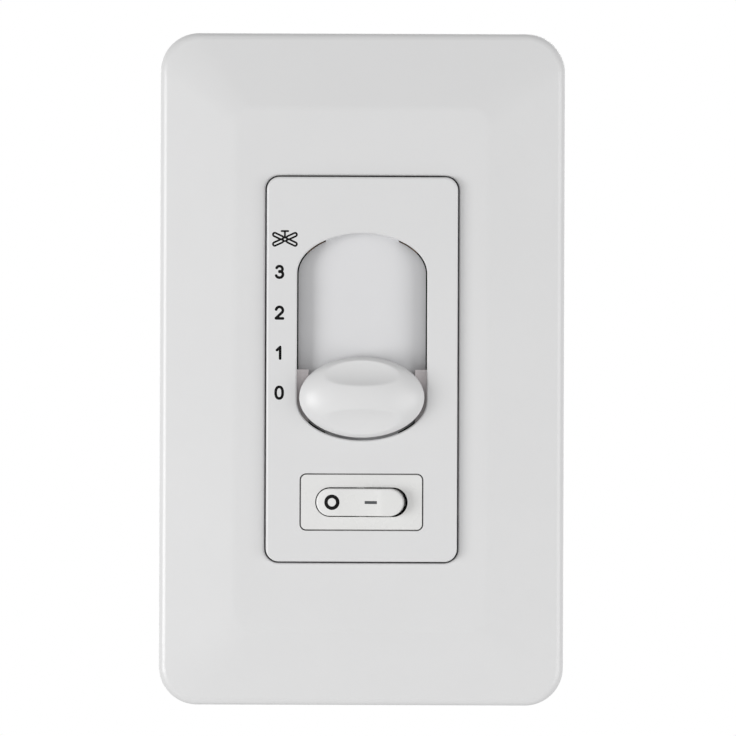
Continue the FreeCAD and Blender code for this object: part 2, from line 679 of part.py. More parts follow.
def slide_knob():
    """Oval domed cap with a scooped finger grip above and below its ridge."""
    equator_z = panel_front_z + KNOB_EQUATOR_PROUD
    top_z = equator_z + KNOB_CROWN
    radius = KNOB_HEIGHT / 2
    crown = Part.Ellipse(Vector(radius, 0, equator_z), Vector(0, 0, top_z), Vector(0, 0, equator_z))
    arc = Part.ArcOfEllipse(crown, 0, math.pi / 2).toShape()
    foot = Vector(0, 0, knob_foot_z)
    rim = Vector(radius, 0, knob_foot_z)
    half = Part.Wire([
        Part.makeLine(foot, rim),
        Part.makeLine(rim, Vector(radius, 0, equator_z)),
        arc,
        Part.makeLine(Vector(0, 0, top_z), foot),
    ])
    round_knob = Part.Face(half).revolve(Vector(0, 0, 0), Vector(0, 0, 1), 360)
    stretch = FreeCAD.Matrix()
    stretch.scale(KNOB_WIDTH / KNOB_HEIGHT, 1.0, 1.0)
    knob = round_knob.transformGeometry(stretch)
    knob.translate(Vector(0, knob_y, 0))
    low_z = top_z - SCOOP_DEPTH
    drop = math.sqrt(SCOOP_RADIUS ** 2 - (SCOOP_RADIUS - SCOOP_DEPTH) ** 2)
    scoops = []
    for side in (-1, 1):
        axis_y = knob_y + side * (SCOOP_RIDGE_HALF_WIDTH + drop)
        start = Vector(-KNOB_WIDTH, axis_y, low_z + SCOOP_RADIUS)
        scoops.append(Part.makeCylinder(SCOOP_RADIUS, 2 * KNOB_WIDTH, start, Vector(1, 0, 0)))
    knob = knob.cut(scoops)
    rims = [edge for edge in knob.Edges if on_cylinder(knob, edge)]
    return knob.makeFillet(SCOOP_ROUNDING, rims).cut(saddle_bridge(KNOB_POCKET_CLEARANCE))


def slide_saddle():
    """Saddle under the knob: a bridge with a post, two shoes on the floor's flanks, and two legs."""
    shoe = block(
        (slot_width / 2 - SHOE_VISIBLE_WIDTH, leg_outer_x),
        (knob_y - SHOE_LENGTH / 2, knob_y + SHOE_LENGTH / 2),
        (floor_back_z, shoe_front_z),
    )
    leg = block(
        (leg_inner_x, leg_outer_x),
        (knob_y - LEG_LENGTH / 2, knob_y + LEG_LENGTH / 2),
        (carrier_back_z, shoe_front_z),
    )
    below = floor_section(
        leg_inner_x, SADDLE_CLEARANCE, knob_y - SHOE_LENGTH, knob_y + SHOE_LENGTH
    )
    below = below.fuse(block(
        (-2 * leg_outer_x, 2 * leg_outer_x),
        (knob_y + LEG_LENGTH / 2, knob_y + SHOE_LENGTH),
        (floor_back_z, floor_edge_z + SADDLE_CLEARANCE),
    ))
    below = below.fuse(block(
        (-2 * leg_outer_x, 2 * leg_outer_x),
        (knob_y - SHOE_LENGTH, knob_y - LEG_LENGTH / 2),
        (floor_back_z, floor_edge_z + SADDLE_CLEARANCE),
    ))
    top = saddle_bridge(0.0).fuse(mirrored_pair(shoe)).cut(below)
    windows = mirrored_pair(carrier_tab(CARRIER_FIT))
    return top.fuse(mirrored_pair(leg)).cut(windows).removeSplitter()


def carrier_tab(extra):
    """Tab at the carrier's end, grown by extra for the window in the saddle's leg."""
    middle_z = (carrier_front_z + carrier_back_z) / 2
    return block(
        (leg_inner_x - 2 * CARRIER_FIT, leg_outer_x + extra),
        (knob_y - CARRIER_TAB_LENGTH / 2 - extra, knob_y + CARRIER_TAB_LENGTH / 2 + extra),
        (middle_z - CARRIER_TAB_HEIGHT / 2 - extra, middle_z + CARRIER_TAB_HEIGHT / 2 + extra),
    )


def contact_carrier():
    """Block between the saddle's legs, with a pocket for the detent spring to flex into."""
    body = block(
        (-leg_inner_x + CARRIER_FIT, leg_inner_x - CARRIER_FIT),
        (knob_y - CARRIER_LENGTH / 2, knob_y + CARRIER_LENGTH / 2),
        (carrier_back_z, carrier_front_z),
    )
    pocket = block(
        (-LEAF_WIDTH / 2 - CARRIER_FIT, LEAF_WIDTH / 2 + CARRIER_FIT),
        (knob_y - CARRIER_LENGTH / 2 + LEAF_FOOT, knob_y + CARRIER_LENGTH / 2 - LEAF_FOOT),
        (carrier_front_z - LEAF_POCKET_DEPTH, carrier_front_z + LEAF_POCKET_DEPTH),
    )
    return body.fuse(mirrored_pair(carrier_tab(0.0))).cut(pocket).removeSplitter()


def detent_spring():
    """Leaf spring on the carrier whose hump drops into the grooves under the track."""
    foot_z = carrier_front_z + LEAF_THICKNESS / 2
    hump_z = floor_back_z + DETENT_DEPTH - DETENT_PLAY - LEAF_THICKNESS / 2
    shoulder_y = CARRIER_LENGTH / 2 - LEAF_FOOT
    crest_y = DETENT_RADIUS / 3
    half = [
        (CARRIER_LENGTH / 2, foot_z),
        (shoulder_y, foot_z),
        (2.4 * crest_y, floor_back_z - 0.6 * LEAF_THICKNESS),
        (crest_y, hump_z - LEAF_THICKNESS / 3),
        (0.0, hump_z),
    ]
    middle = [(knob_y - y, z) for y, z in half] + [(knob_y + y, z) for y, z in half[-2::-1]]
    return profile_along_x(
        strip_outline(middle, LEAF_THICKNESS), -LEAF_WIDTH / 2, LEAF_WIDTH / 2
    )


def wiper_contact():
    """Springy bridge under the carrier with one finger on the rail and one on the speed pads."""
    base_z = carrier_back_z - WIPER_THICKNESS / 2
    tip_z = board_front_z + PAD_THICKNESS + WIPER_PLAY + WIPER_THICKNESS / 2
    edge_y = knob_y + CARRIER_LENGTH / 2
    middle = [
        (edge_y - WIPER_WIDTH, base_z),
        (edge_y - WIPER_WIDTH / 2, base_z),
        (wiper_tip_y - WIPER_REACH / 4, tip_z + WIPER_THICKNESS / 2),
        (wiper_tip_y, tip_z),
        (wiper_tip_y + WIPER_REACH / 4, tip_z + WIPER_THICKNESS),
    ]
    outline = strip_outline(middle, WIPER_THICKNESS)
    fingers = []
    for x in (-WIPER_SPREAD / 2, WIPER_SPREAD / 2):
        fingers.append(profile_along_x(outline, x - WIPER_WIDTH / 2, x + WIPER_WIDTH / 2))
    bar = block(
        (-WIPER_SPREAD / 2 - WIPER_WIDTH / 2, WIPER_SPREAD / 2 + WIPER_WIDTH / 2),
        (edge_y - 2 * WIPER_WIDTH, edge_y - WIPER_WIDTH),
        (carrier_back_z - WIPER_THICKNESS, carrier_back_z),
    )
    return bar.fuse(fingers).removeSplitter()


def contact_board():
    """Circuit board clamped between the panel's bosses and the housing's columns."""
    board = slab(
        housing_inner_width - 2 * BOARD_CLEARANCE,
        housing_inner_height - 2 * BOARD_CLEARANCE,
        HOUSING_CORNER_RADIUS - HOUSING_WALL,
        board_back_z,
        board_front_z,
    )
    cutters = []
    for centre in corner_points(boss_x, boss_y):
        hole = CASE_SCREW_RADIUS + 2 * THREAD_CLEARANCE
        cutters.append(rod(hole, 2 * board_back_z, 0.0, centre))
    cutters += [terminal_blade(x, THREAD_CLEARANCE) for x in terminal_places()]
    for y in resistor_places():
        for sign in (-1, 1):
            lead = (resistor_x(), y + sign * RESISTOR_LEAD_SPAN / 2)
            cutters.append(rod(RESISTOR_LEAD_RADIUS + THREAD_CLEARANCE, 2 * board_back_z, 0.0, lead))
    return board.cut(cutters)


def contact_pads():
    """Copper contacts on the board: one long rail, and a pad for each slide position."""
    low_z = board_front_z
    high_z = board_front_z + PAD_THICKNESS
    first_y = wiper_tip_y
    pads = [block(
        (-WIPER_SPREAD / 2 - PAD_WIDTH / 2, -WIPER_SPREAD / 2 + PAD_WIDTH / 2),
        (first_y - PAD_LENGTH / 2, first_y + travel + PAD_LENGTH / 2),
        (low_z, high_z),
    )]
    for step in range(SPEED_STEPS + 1):
        pad_y = first_y + step * SPEED_PITCH
        pads.append(block(
            (WIPER_SPREAD / 2 - PAD_WIDTH / 2, WIPER_SPREAD / 2 + PAD_WIDTH / 2),
            (pad_y - PAD_LENGTH / 2, pad_y + PAD_LENGTH / 2),
            (low_z, high_z),
        ))
    return Part.makeCompound(pads)


def speed_capacitor(number):
    """Boxed film capacitor on the back of the board, counted from the top."""
    pitch = CAPACITOR_HEIGHT + CAPACITOR_SPACING
    middle_y = capacitor_middle_y + (0.5 - number) * pitch
    case = block(
        (-CAPACITOR_WIDTH / 2, CAPACITOR_WIDTH / 2),
        (middle_y - CAPACITOR_HEIGHT / 2, middle_y + CAPACITOR_HEIGHT / 2),
        (board_back_z - CAPACITOR_DEPTH, board_back_z),
    )
    outer_edges = edges_in_plane(case, board_back_z - CAPACITOR_DEPTH)
    return case.makeFillet(CAPACITOR_ROUNDING, outer_edges)


def resistor_x():
    """Place of the resistors, between the capacitors and the board's edge."""
    board_edge = housing_inner_width / 2 - BOARD_CLEARANCE
    return (CAPACITOR_WIDTH / 2 + board_edge) / 2


def resistor_places():
    """Heights of the two resistors on the board."""
    return [capacitor_middle_y - RESISTOR_SPACING / 2, capacitor_middle_y + RESISTOR_SPACING / 2]


def resistor_lead(x, y, axis_z):
    """Bent wire through a resistor: up from the board, round a bend, along, and back down."""
    half = RESISTOR_LEAD_SPAN / 2
    bend = RESISTOR_BEND_RADIUS
    turn = bend * math.sqrt(0.5)

    def at(along, height):
        return Vector(x, y + along, height)

    def corner(side):
        middle = at(side * (half - bend + turn), axis_z + bend - turn)
        return Part.Arc(at(side * half, axis_z + bend), middle, at(side * (half - bend), axis_z))

    path = Part.Wire([
        Part.makeLine(at(-half, board_front_z), at(-half, axis_z + bend)),
        corner(-1).toShape(),
        Part.makeLine(at(bend - half, axis_z), at(half - bend, axis_z)),
        corner(1).toShape(),
        Part.makeLine(at(half, axis_z + bend), at(half, board_front_z)),
    ])
    section = wire_section(at(-half, board_front_z), Vector(0, 0, 1), RESISTOR_LEAD_RADIUS)
    return path.makePipeShell([section], True, False)


def bleed_resistors():
    """Two small resistors that discharge the capacitors, on bent leads through the board."""
    x = resistor_x()
    axis_z = board_back_z - RESISTOR_STANDOFF - RESISTOR_RADIUS
    resistors = []
    for y in resistor_places():
        start = Vector(x, y - RESISTOR_LENGTH / 2, axis_z)
        body = Part.makeCylinder(RESISTOR_RADIUS, RESISTOR_LENGTH, start, Vector(0, 1, 0))
        ends = [edge for edge in body.Edges if edge.isClosed()]
        body = body.makeChamfer(RESISTOR_RADIUS / 4, ends)
        resistors.append(body.fuse(resistor_lead(x, y, axis_z)).removeSplitter())
    return Part.makeCompound(resistors)


def rocker_frame():
    """Rocker switch's moulded body: a flush front frame, a flange, and a chamber behind them."""
    centre = (0.0, rocker_y)
    front = slab(
        ROCKER_FRAME_WIDTH,
        ROCKER_FRAME_HEIGHT,
        ROCKER_FRAME_CORNER_RADIUS,
        panel_back_z - ROCKER_FLANGE_THICKNESS,
        rocker_front_z,
        centre,
    )
    flange = slab(
        ROCKER_FRAME_WIDTH + 2 * ROCKER_FRAME_GAP + 2 * ROCKER_FLANGE,
        ROCKER_FRAME_HEIGHT + 2 * ROCKER_FRAME_GAP + 2 * ROCKER_FLANGE,
        ROCKER_FRAME_CORNER_RADIUS + ROCKER_FRAME_GAP + ROCKER_FLANGE,
        panel_back_z - ROCKER_FLANGE_THICKNESS,
        panel_back_z,
        centre,
    )
    body = slab(
        rocker_body_width,
        rocker_body_height,
        ROCKER_FRAME_CORNER_RADIUS,
        board_front_z,
        panel_back_z,
        centre,
    )
    chamber = stadium(
        chamber_length, chamber_width, chamber_floor_z, rocker_front_z + ROCKER_PIVOT_DEPTH, centre
    )
    reach = ROCKER_WIDTH / 2 + PIVOT_LENGTH + PIVOT_CLEARANCE
    bearing = Part.makeCylinder(
        PIVOT_RADIUS + PIVOT_CLEARANCE,
        2 * reach,
        Vector(0, rocker_y - reach, rocker_pivot_z),
        Vector(0, 1, 0),
    )
    cutters = [chamber, bearing] + [terminal_blade(x, THREAD_CLEARANCE) for x in terminal_places()]
    stop_x = ARM_LENGTH / 2 - ARM_WIDTH / 4
    sunk = stop_x * math.sin(math.radians(ARM_TILT))
    stop_z = arm_pivot_z - ARM_THICKNESS - sunk - ARM_STOP_CLEARANCE
    stop = block(
        (stop_x - TERMINAL_THICKNESS / 2, stop_x + TERMINAL_THICKNESS / 2),
        (rocker_y - chamber_width / 2, rocker_y + chamber_width / 2),
        (chamber_floor_z - ROCKER_FLOOR / 2, stop_z),
    )
    return front.fuse([flange, body]).cut(cutters).fuse(stop).removeSplitter()


def tilted(shape, height, angle):
    """The shape turned about a line along y at the rocker's middle, at the given height."""
    turned = shape.copy()
    turned.rotate(Vector(0, rocker_y, height), Vector(0, 1, 0), angle)
    return turned


def rocker_button():
    """Rocker: a hollow-topped bar with pivot pins and a stem that holds the plunger."""
    half = ROCKER_LENGTH / 2
    edge_z = rocker_front_z + ROCKER_EDGE_HEIGHT
    crest_z = edge_z + ROCKER_CREST_RISE
    valley_z = crest_z - ROCKER_VALLEY_DROP
    shoulder_x = (half + ROCKER_CREST_OFFSET) / 2
    shoulder_z = edge_z + 0.75 * ROCKER_CREST_RISE
    low_z = rocker_pivot_z - ROCKER_SKIRT
    side_y = rocker_y - ROCKER_WIDTH

    def at(x, z):
        return Vector(x, side_y, z)

    right_crest = at(ROCKER_CREST_OFFSET, crest_z)
    left_crest = at(-ROCKER_CREST_OFFSET, crest_z)
    side = Part.Wire([
        Part.Arc(at(half, edge_z), at(shoulder_x, shoulder_z), right_crest).toShape(),
        Part.Arc(right_crest, at(0, valley_z), left_crest).toShape(),
        Part.Arc(left_crest, at(-shoulder_x, shoulder_z), at(-half, edge_z)).toShape(),
        Part.makeLine(at(-half, edge_z), at(-half, low_z)),
        Part.makeLine(at(-half, low_z), at(half, low_z)),
        Part.makeLine(at(half, low_z), at(half, edge_z)),
    ])
    bar = Part.Face(side).extrude(Vector(0, 2 * ROCKER_WIDTH, 0))
    crests = [edge for edge in edges_in_plane(bar, crest_z) if edge.BoundBox.XLength < 1e-4]
    bar = bar.makeFillet(ROCKER_CREST_ROUNDING, crests)
    outline = stadium(ROCKER_LENGTH, ROCKER_WIDTH, low_z, crest_z + ROCKER_WIDTH, (0.0, rocker_y))
    bar = bar.common(outline)
    rim = [edge for edge in bar.Edges if edge.BoundBox.ZMin > rocker_front_z and edge.BoundBox.XLength > 1e-4]
    bar = bar.makeFillet(ROCKER_ROUNDING, rim)
    reach = ROCKER_WIDTH / 2 + PIVOT_LENGTH
    pins = Part.makeCylinder(
        PIVOT_RADIUS, 2 * reach, Vector(0, rocker_y - reach, rocker_pivot_z), Vector(0, 1, 0)
    )
    stem_end_z = rocker_pivot_z - STEM_LENGTH
    stem = rod(STEM_RADIUS, stem_end_z, rocker_pivot_z, (0.0, rocker_y))
    bore = rod(STEM_BORE_RADIUS, stem_end_z - STEM_RADIUS, stem_end_z + STEM_BORE_DEPTH, (0.0, rocker_y))
    return bar.fuse([pins, stem]).cut(bore).removeSplitter()


def rocker_plunger():
    """Round-nosed plunger in the rocker's stem that flips the contact arm."""
    nose_z = plunger_tip_z + plunger_radius
    nose = Part.makeSphere(plunger_radius, Vector(0, rocker_y, nose_z))
    body = rod(plunger_radius, nose_z, plunger_tip_z + PLUNGER_LENGTH, (0.0, rocker_y))
    return nose.fuse(body).removeSplitter()


def rocker_spring():
    """Coil spring between the plunger and the end of the stem's bore."""
    low_z = plunger_tip_z + PLUNGER_LENGTH + PLUNGER_SPRING_WIRE / 2
    high_z = rocker_pivot_z - STEM_LENGTH + STEM_BORE_DEPTH - PLUNGER_SPRING_WIRE / 2
    coil_radius = plunger_radius - PLUNGER_SPRING_WIRE / 2 - PLUNGER_CLEARANCE
    helix = Part.makeHelix(PLUNGER_SPRING_PITCH, high_z - low_z, coil_radius)
    section = wire_section(Vector(coil_radius, 0, 0), Vector(0, 1, 0), PLUNGER_SPRING_WIRE / 2)
    spring = Part.Wire(helix.Edges).makePipeShell([section], True, True)
    spring.translate(Vector(0, rocker_y, low_z))
    return spring


def contact_arm():
    """See-saw arm, humped over the middle terminal, with a contact button under its left end."""
    half = ARM_LENGTH / 2
    low_z = arm_pivot_z
    high_z = arm_pivot_z + ARM_THICKNESS
    wings = block(
        (-half, half), (rocker_y - ARM_WIDTH / 2, rocker_y + ARM_WIDTH / 2), (low_z, high_z)
    )
    start = Vector(0, rocker_y - ARM_WIDTH / 2, arm_pivot_z)
    hump = Part.makeCylinder(hump_radius, ARM_WIDTH, start, Vector(0, 1, 0))
    hump = hump.common(block(
        (-half, half), (rocker_y - ARM_WIDTH, rocker_y + ARM_WIDTH), (low_z, low_z + 2 * hump_radius)
    ))
    seat = Part.makeCylinder(hump_radius - ARM_THICKNESS, ARM_WIDTH, start, Vector(0, 1, 0))
    button = rod(CONTACT_BUTTON_RADIUS, low_z - CONTACT_BUTTON_HEIGHT, low_z, (button_x(), rocker_y))
    return wings.fuse([hump, button]).cut(seat).removeSplitter()


def button_x():
    """Place of the contact button along the arm."""
    return -ARM_LENGTH / 2 + CONTACT_BUTTON_RADIUS


def terminal_places():
    """Places along x of the middle terminal and of the one under the contact button."""
    return [0.0, button_x()]


def terminal_blade(x, extra):
    """Terminal's blade through the switch's floor and the board, grown by extra for its slot."""
    return block(
        (x - TERMINAL_THICKNESS / 2 - extra, x + TERMINAL_THICKNESS / 2 + extra),
        (rocker_y - ARM_WIDTH / 2 - extra, rocker_y + ARM_WIDTH / 2 + extra),
        (board_back_z - SOLDER_TAIL, chamber_floor_z),
    )


def middle_terminal():
    """Terminal with a rounded edge on which the contact arm rocks."""
    post = block(
        (-FULCRUM_RADIUS, FULCRUM_RADIUS),
        (rocker_y - ARM_WIDTH / 2, rocker_y + ARM_WIDTH / 2),
        (chamber_floor_z, arm_pivot_z),
    )
    edge = Part.makeCylinder(
        FULCRUM_RADIUS, ARM_WIDTH, Vector(0, rocker_y - ARM_WIDTH / 2, arm_pivot_z), Vector(0, 1, 0)
    )
    return terminal_blade(0.0, 0.0).fuse([post, edge]).removeSplitter()


def light_terminal():
    """Terminal whose pad the contact button meets when the rocker is on."""
    x = button_x()
    tilt = math.radians(ARM_TILT)
    arm_low = arm_pivot_z - (ARM_LENGTH / 2) * math.sin(tilt) - CONTACT_BUTTON_HEIGHT
    pad = block(
        (x - TERMINAL_PAD_LENGTH / 2, x + TERMINAL_PAD_LENGTH / 2),
        (rocker_y - ARM_WIDTH / 2, rocker_y + ARM_WIDTH / 2),
        (chamber_floor_z, arm_low - ARM_STOP_CLEARANCE),
    )
    return terminal_blade(x, 0.0).fuse(pad).removeSplitter()


def back_housing():
    """Deep back case with four screw columns and the outlet for the leads."""
    outer = slab(HOUSING_WIDTH, HOUSING_HEIGHT, HOUSING_CORNER_RADIUS, housing_back_z, 0.0)
    outer = outer.makeFillet(HOUSING_ROUNDING, edges_in_plane(outer, housing_back_z))
    cavity = slab(
        housing_inner_width,
        housing_inner_height,
        HOUSING_CORNER_RADIUS - HOUSING_WALL,
        housing_floor_z,
        HOUSING_WALL,
    )
    outlet = rod(
        grommet_seat_radius(), 2 * housing_back_z, housing_floor_z + HOUSING_WALL, (0.0, grommet_y)
    )
    columns = []
    cutters = [outlet]
    for centre in corner_points(boss_x, boss_y):
        columns.append(rod(column_radius, housing_back_z + HOUSING_WALL / 2, board_back_z, centre))
        cutters.append(rod(head_bore_radius, 2 * housing_back_z, column_step_z, centre))
        cutters.append(rod(CASE_SCREW_RADIUS + 2 * THREAD_CLEARANCE, 2 * housing_back_z, 0.0, centre))
    return outer.cut(cavity).fuse(columns).cut(cutters).removeSplitter()


def housing_screws():
    """Four screws from the back through the columns and the board into the panel's bosses."""
    screws = []
    for centre in corner_points(boss_x, boss_y):
        head_back_z = column_step_z - CASE_SCREW_HEAD_HEIGHT
        head = rod(CASE_SCREW_HEAD_RADIUS, head_back_z, column_step_z, centre)
        head = head.makeChamfer(CASE_SCREW_HEAD_BEVEL, edges_in_plane(head, head_back_z))
        shank = rod(CASE_SCREW_RADIUS, column_step_z, column_step_z + CASE_SCREW_LENGTH, centre)
        slot = drive_slot(CASE_SCREW_HEAD_RADIUS, head_back_z, centre)
        screws.append(head.fuse(shank).cut(slot).removeSplitter())
    return Part.makeCompound(screws)


def grommet_seat_radius():
    """Radius of the hole in the housing that the grommet sits in."""
    return GROMMET_BORE_RADIUS + GROMMET_WALL


def lead_grommet():
    """Rubber grommet in the housing's back wall that the leads come out through."""
    neck = grommet_seat_radius() - GROMMET_FIT
    flange = grommet_seat_radius() + GROMMET_FLANGE
    outside_z = housing_back_z - GROMMET_FLANGE_THICKNESS
    inside_z = housing_floor_z + GROMMET_FLANGE_THICKNESS
    section = [
        (GROMMET_BORE_RADIUS, outside_z),
        (flange - GROMMET_FLANGE_THICKNESS / 2, outside_z),
        (flange, outside_z + GROMMET_FLANGE_THICKNESS / 2),
        (flange, housing_back_z),
        (neck, housing_back_z),
        (neck, housing_floor_z),
        (flange, housing_floor_z),
        (flange - GROMMET_FLANGE_THICKNESS / 2, inside_z),
        (GROMMET_BORE_RADIUS, inside_z),
    ]
    outline = Part.makePolygon([Vector(x, 0, z) for x, z in section + section[:1]])
    ring = Part.Face(outline).revolve(Vector(0, 0, 0), Vector(0, 0, 1), 360)
    ring.translate(Vector(0, grommet_y, 0))
    return ring


def parts():
    """Every sub-part at rest: the knob at its lowest position and the rocker off."""
    return {
        "wall_plate": wall_plate(),
        "sub_plate": sub_plate(),
        "plate_screws": plate_screws(),
        "mounting_yoke": mounting_yoke(),
        "mounting_screws": mounting_screws(),
        "face_panel": face_panel(),
        "slide_track": slide_track(),
        "slide_knob": slide_knob(),
        "slide_saddle": slide_saddle(),
        "contact_carrier": contact_carrier(),
        "detent_spring": detent_spring(),
        "wiper_contact": wiper_contact(),
        "contact_board": contact_board(),
        "contact_pads": contact_pads(),
        "low_speed_capacitor": speed_capacitor(0),
        "medium_speed_capacitor": speed_capacitor(1),
        "bleed_resistors": bleed_resistors(),
        "rocker_frame": rocker_frame(),
        "rocker_button": tilted(rocker_button(), rocker_pivot_z, -ROCKER_TILT),
        "rocker_plunger": tilted(rocker_plunger(), rocker_pivot_z, -ROCKER_TILT),
        "rocker_spring": tilted(rocker_spring(), rocker_pivot_z, -ROCKER_TILT),
        "contact_arm": tilted(contact_arm(), arm_pivot_z, ARM_TILT),
        "middle_terminal": middle_terminal(),
        "light_terminal": light_terminal(),
        "back_housing": back_housing(),
        "housing_screws": housing_screws(),
        "lead_grommet": lead_grommet(),
    }


def stood_up(shape):
    """The part turned from lying on its back to standing, as on a wall."""
    standing = shape.copy()
    standing.rotate(Vector(0, 0, 0), Vector(1, 0, 0), 90)
    return standing


def main():
    """Writes each sub-part to its own STEP file."""
    os.makedirs("parts", exist_ok=True)
    for name, shape in parts().items():
        stood_up(shape).exportStep(f"parts/{name}.step")


main()
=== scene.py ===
import logging
import math
from dataclasses import dataclass
from enum import Enum
from typing import Sequence

import bmesh
import bpy
import numpy as np
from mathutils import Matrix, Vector


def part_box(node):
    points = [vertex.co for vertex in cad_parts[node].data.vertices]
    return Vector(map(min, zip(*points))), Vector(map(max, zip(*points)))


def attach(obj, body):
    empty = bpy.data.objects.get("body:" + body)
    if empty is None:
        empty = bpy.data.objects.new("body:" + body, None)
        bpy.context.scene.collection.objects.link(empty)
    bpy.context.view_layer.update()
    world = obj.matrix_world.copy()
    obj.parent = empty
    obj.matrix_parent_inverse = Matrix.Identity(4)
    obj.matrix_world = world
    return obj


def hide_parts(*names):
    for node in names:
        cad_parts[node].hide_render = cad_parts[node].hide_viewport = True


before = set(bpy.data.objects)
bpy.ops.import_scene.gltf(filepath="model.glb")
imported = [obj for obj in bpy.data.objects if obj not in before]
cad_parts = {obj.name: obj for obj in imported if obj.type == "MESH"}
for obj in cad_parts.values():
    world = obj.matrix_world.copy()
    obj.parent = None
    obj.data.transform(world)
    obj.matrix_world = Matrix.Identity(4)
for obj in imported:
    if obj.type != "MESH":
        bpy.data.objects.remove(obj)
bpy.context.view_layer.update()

log = logging.getLogger("fan_speed_control")

MILLIMETRE = 0.001
MERGE_DISTANCE = 2e-7
Colour = tuple[float, float, float]
Place = tuple[float, float, float]


class Body(Enum):
    """Bodies of the mechanism that a piece can ride on."""

    BASE = "base"
    SLIDER = "slider"
    ROCKER = "rocker"


class Ends(Enum):
    """How an inked stroke ends: rounded off, or joined to its own start."""

    ROUND = "round"
    JOINED = "joined"


# Shared surface tools


def stood_up(points: np.ndarray) -> np.ndarray:
    """Turns drawing places into places in the row's frame.

    Args:
        points: Places in millimetres, with x to the right, y up the wall and z out of it.

    Returns:
        The same places in metres, as (x, -z, y).
    """
    turned = np.stack([points[..., 0], -points[..., 2], points[..., 1]], axis=-1)
    return turned * MILLIMETRE


def smooth_lower(first: np.ndarray, second: np.ndarray, blend: float) -> np.ndarray:
    """Lower of two heights, rounded where they cross.

    The plain lower height is dropped by a parabola that is highest where the two are equal
    and fades out where they differ by the blend width.

    Args:
        first: Heights of one surface.
        second: Heights of the other surface.
        blend: Difference in height over which the two run together.

    Returns:
        The blended heights.
    """
    near = np.clip(1.0 - np.abs(first - second) / blend, 0.0, 1.0)
    return np.minimum(first, second) - near * near * blend / 4.0


def grid_faces(rows: int, columns: int) -> np.ndarray:
    """Quads of a grid of points.

    Args:
        rows: Number of rows of points.
        columns: Number of points in each row.

    Returns:
        Four indices for each quad, into the points taken row by row.
    """
    row, column = np.meshgrid(np.arange(rows - 1), np.arange(columns - 1), indexing="ij")
    corner = row * columns + column
    quads = np.stack([corner, corner + columns, corner + columns + 1, corner + 1], axis=-1)
    return quads.reshape(-1, 4)


def build_piece(name: str, surfaces: Sequence[np.ndarray], crease: float = 40.0) -> bpy.types.Object:
    """Makes one closed piece from grids of points, merging their seams and poles.

    Args:
        name: Name of the new object.
        surfaces: Grids of drawing places in millimetres, each rows x columns x 3.
        crease: Angle in degrees past which an edge is drawn sharp.

    Returns:
        The new object, at the origin with its place in its mesh.
    """
    places, faces, start = [], [], 0
    for surface in surfaces:
        rows, columns = surface.shape[:2]
        places.append(stood_up(surface).reshape(-1, 3))
        faces.append(grid_faces(rows, columns) + start)
        start += rows * columns
    mesh = bpy.data.meshes.new(name)
    mesh.from_pydata(np.concatenate(places), [], np.concatenate(faces))
    tidy = bmesh.new()
    tidy.from_mesh(mesh)
    bmesh.ops.remove_doubles(tidy, verts=tidy.verts, dist=MERGE_DISTANCE)
    bmesh.ops.dissolve_degenerate(tidy, edges=tidy.edges, dist=1e-8)
    bmesh.ops.recalc_face_normals(tidy, faces=tidy.faces)
    tidy.to_mesh(mesh)
    tidy.free()
    mesh.polygons.foreach_set("use_smooth", np.ones(len(mesh.polygons), dtype=bool))
    mesh.set_sharp_from_angle(angle=math.radians(crease))
    piece = bpy.data.objects.new(name, mesh)
    bpy.context.scene.collection.objects.link(piece)
    return piece


# Finishes


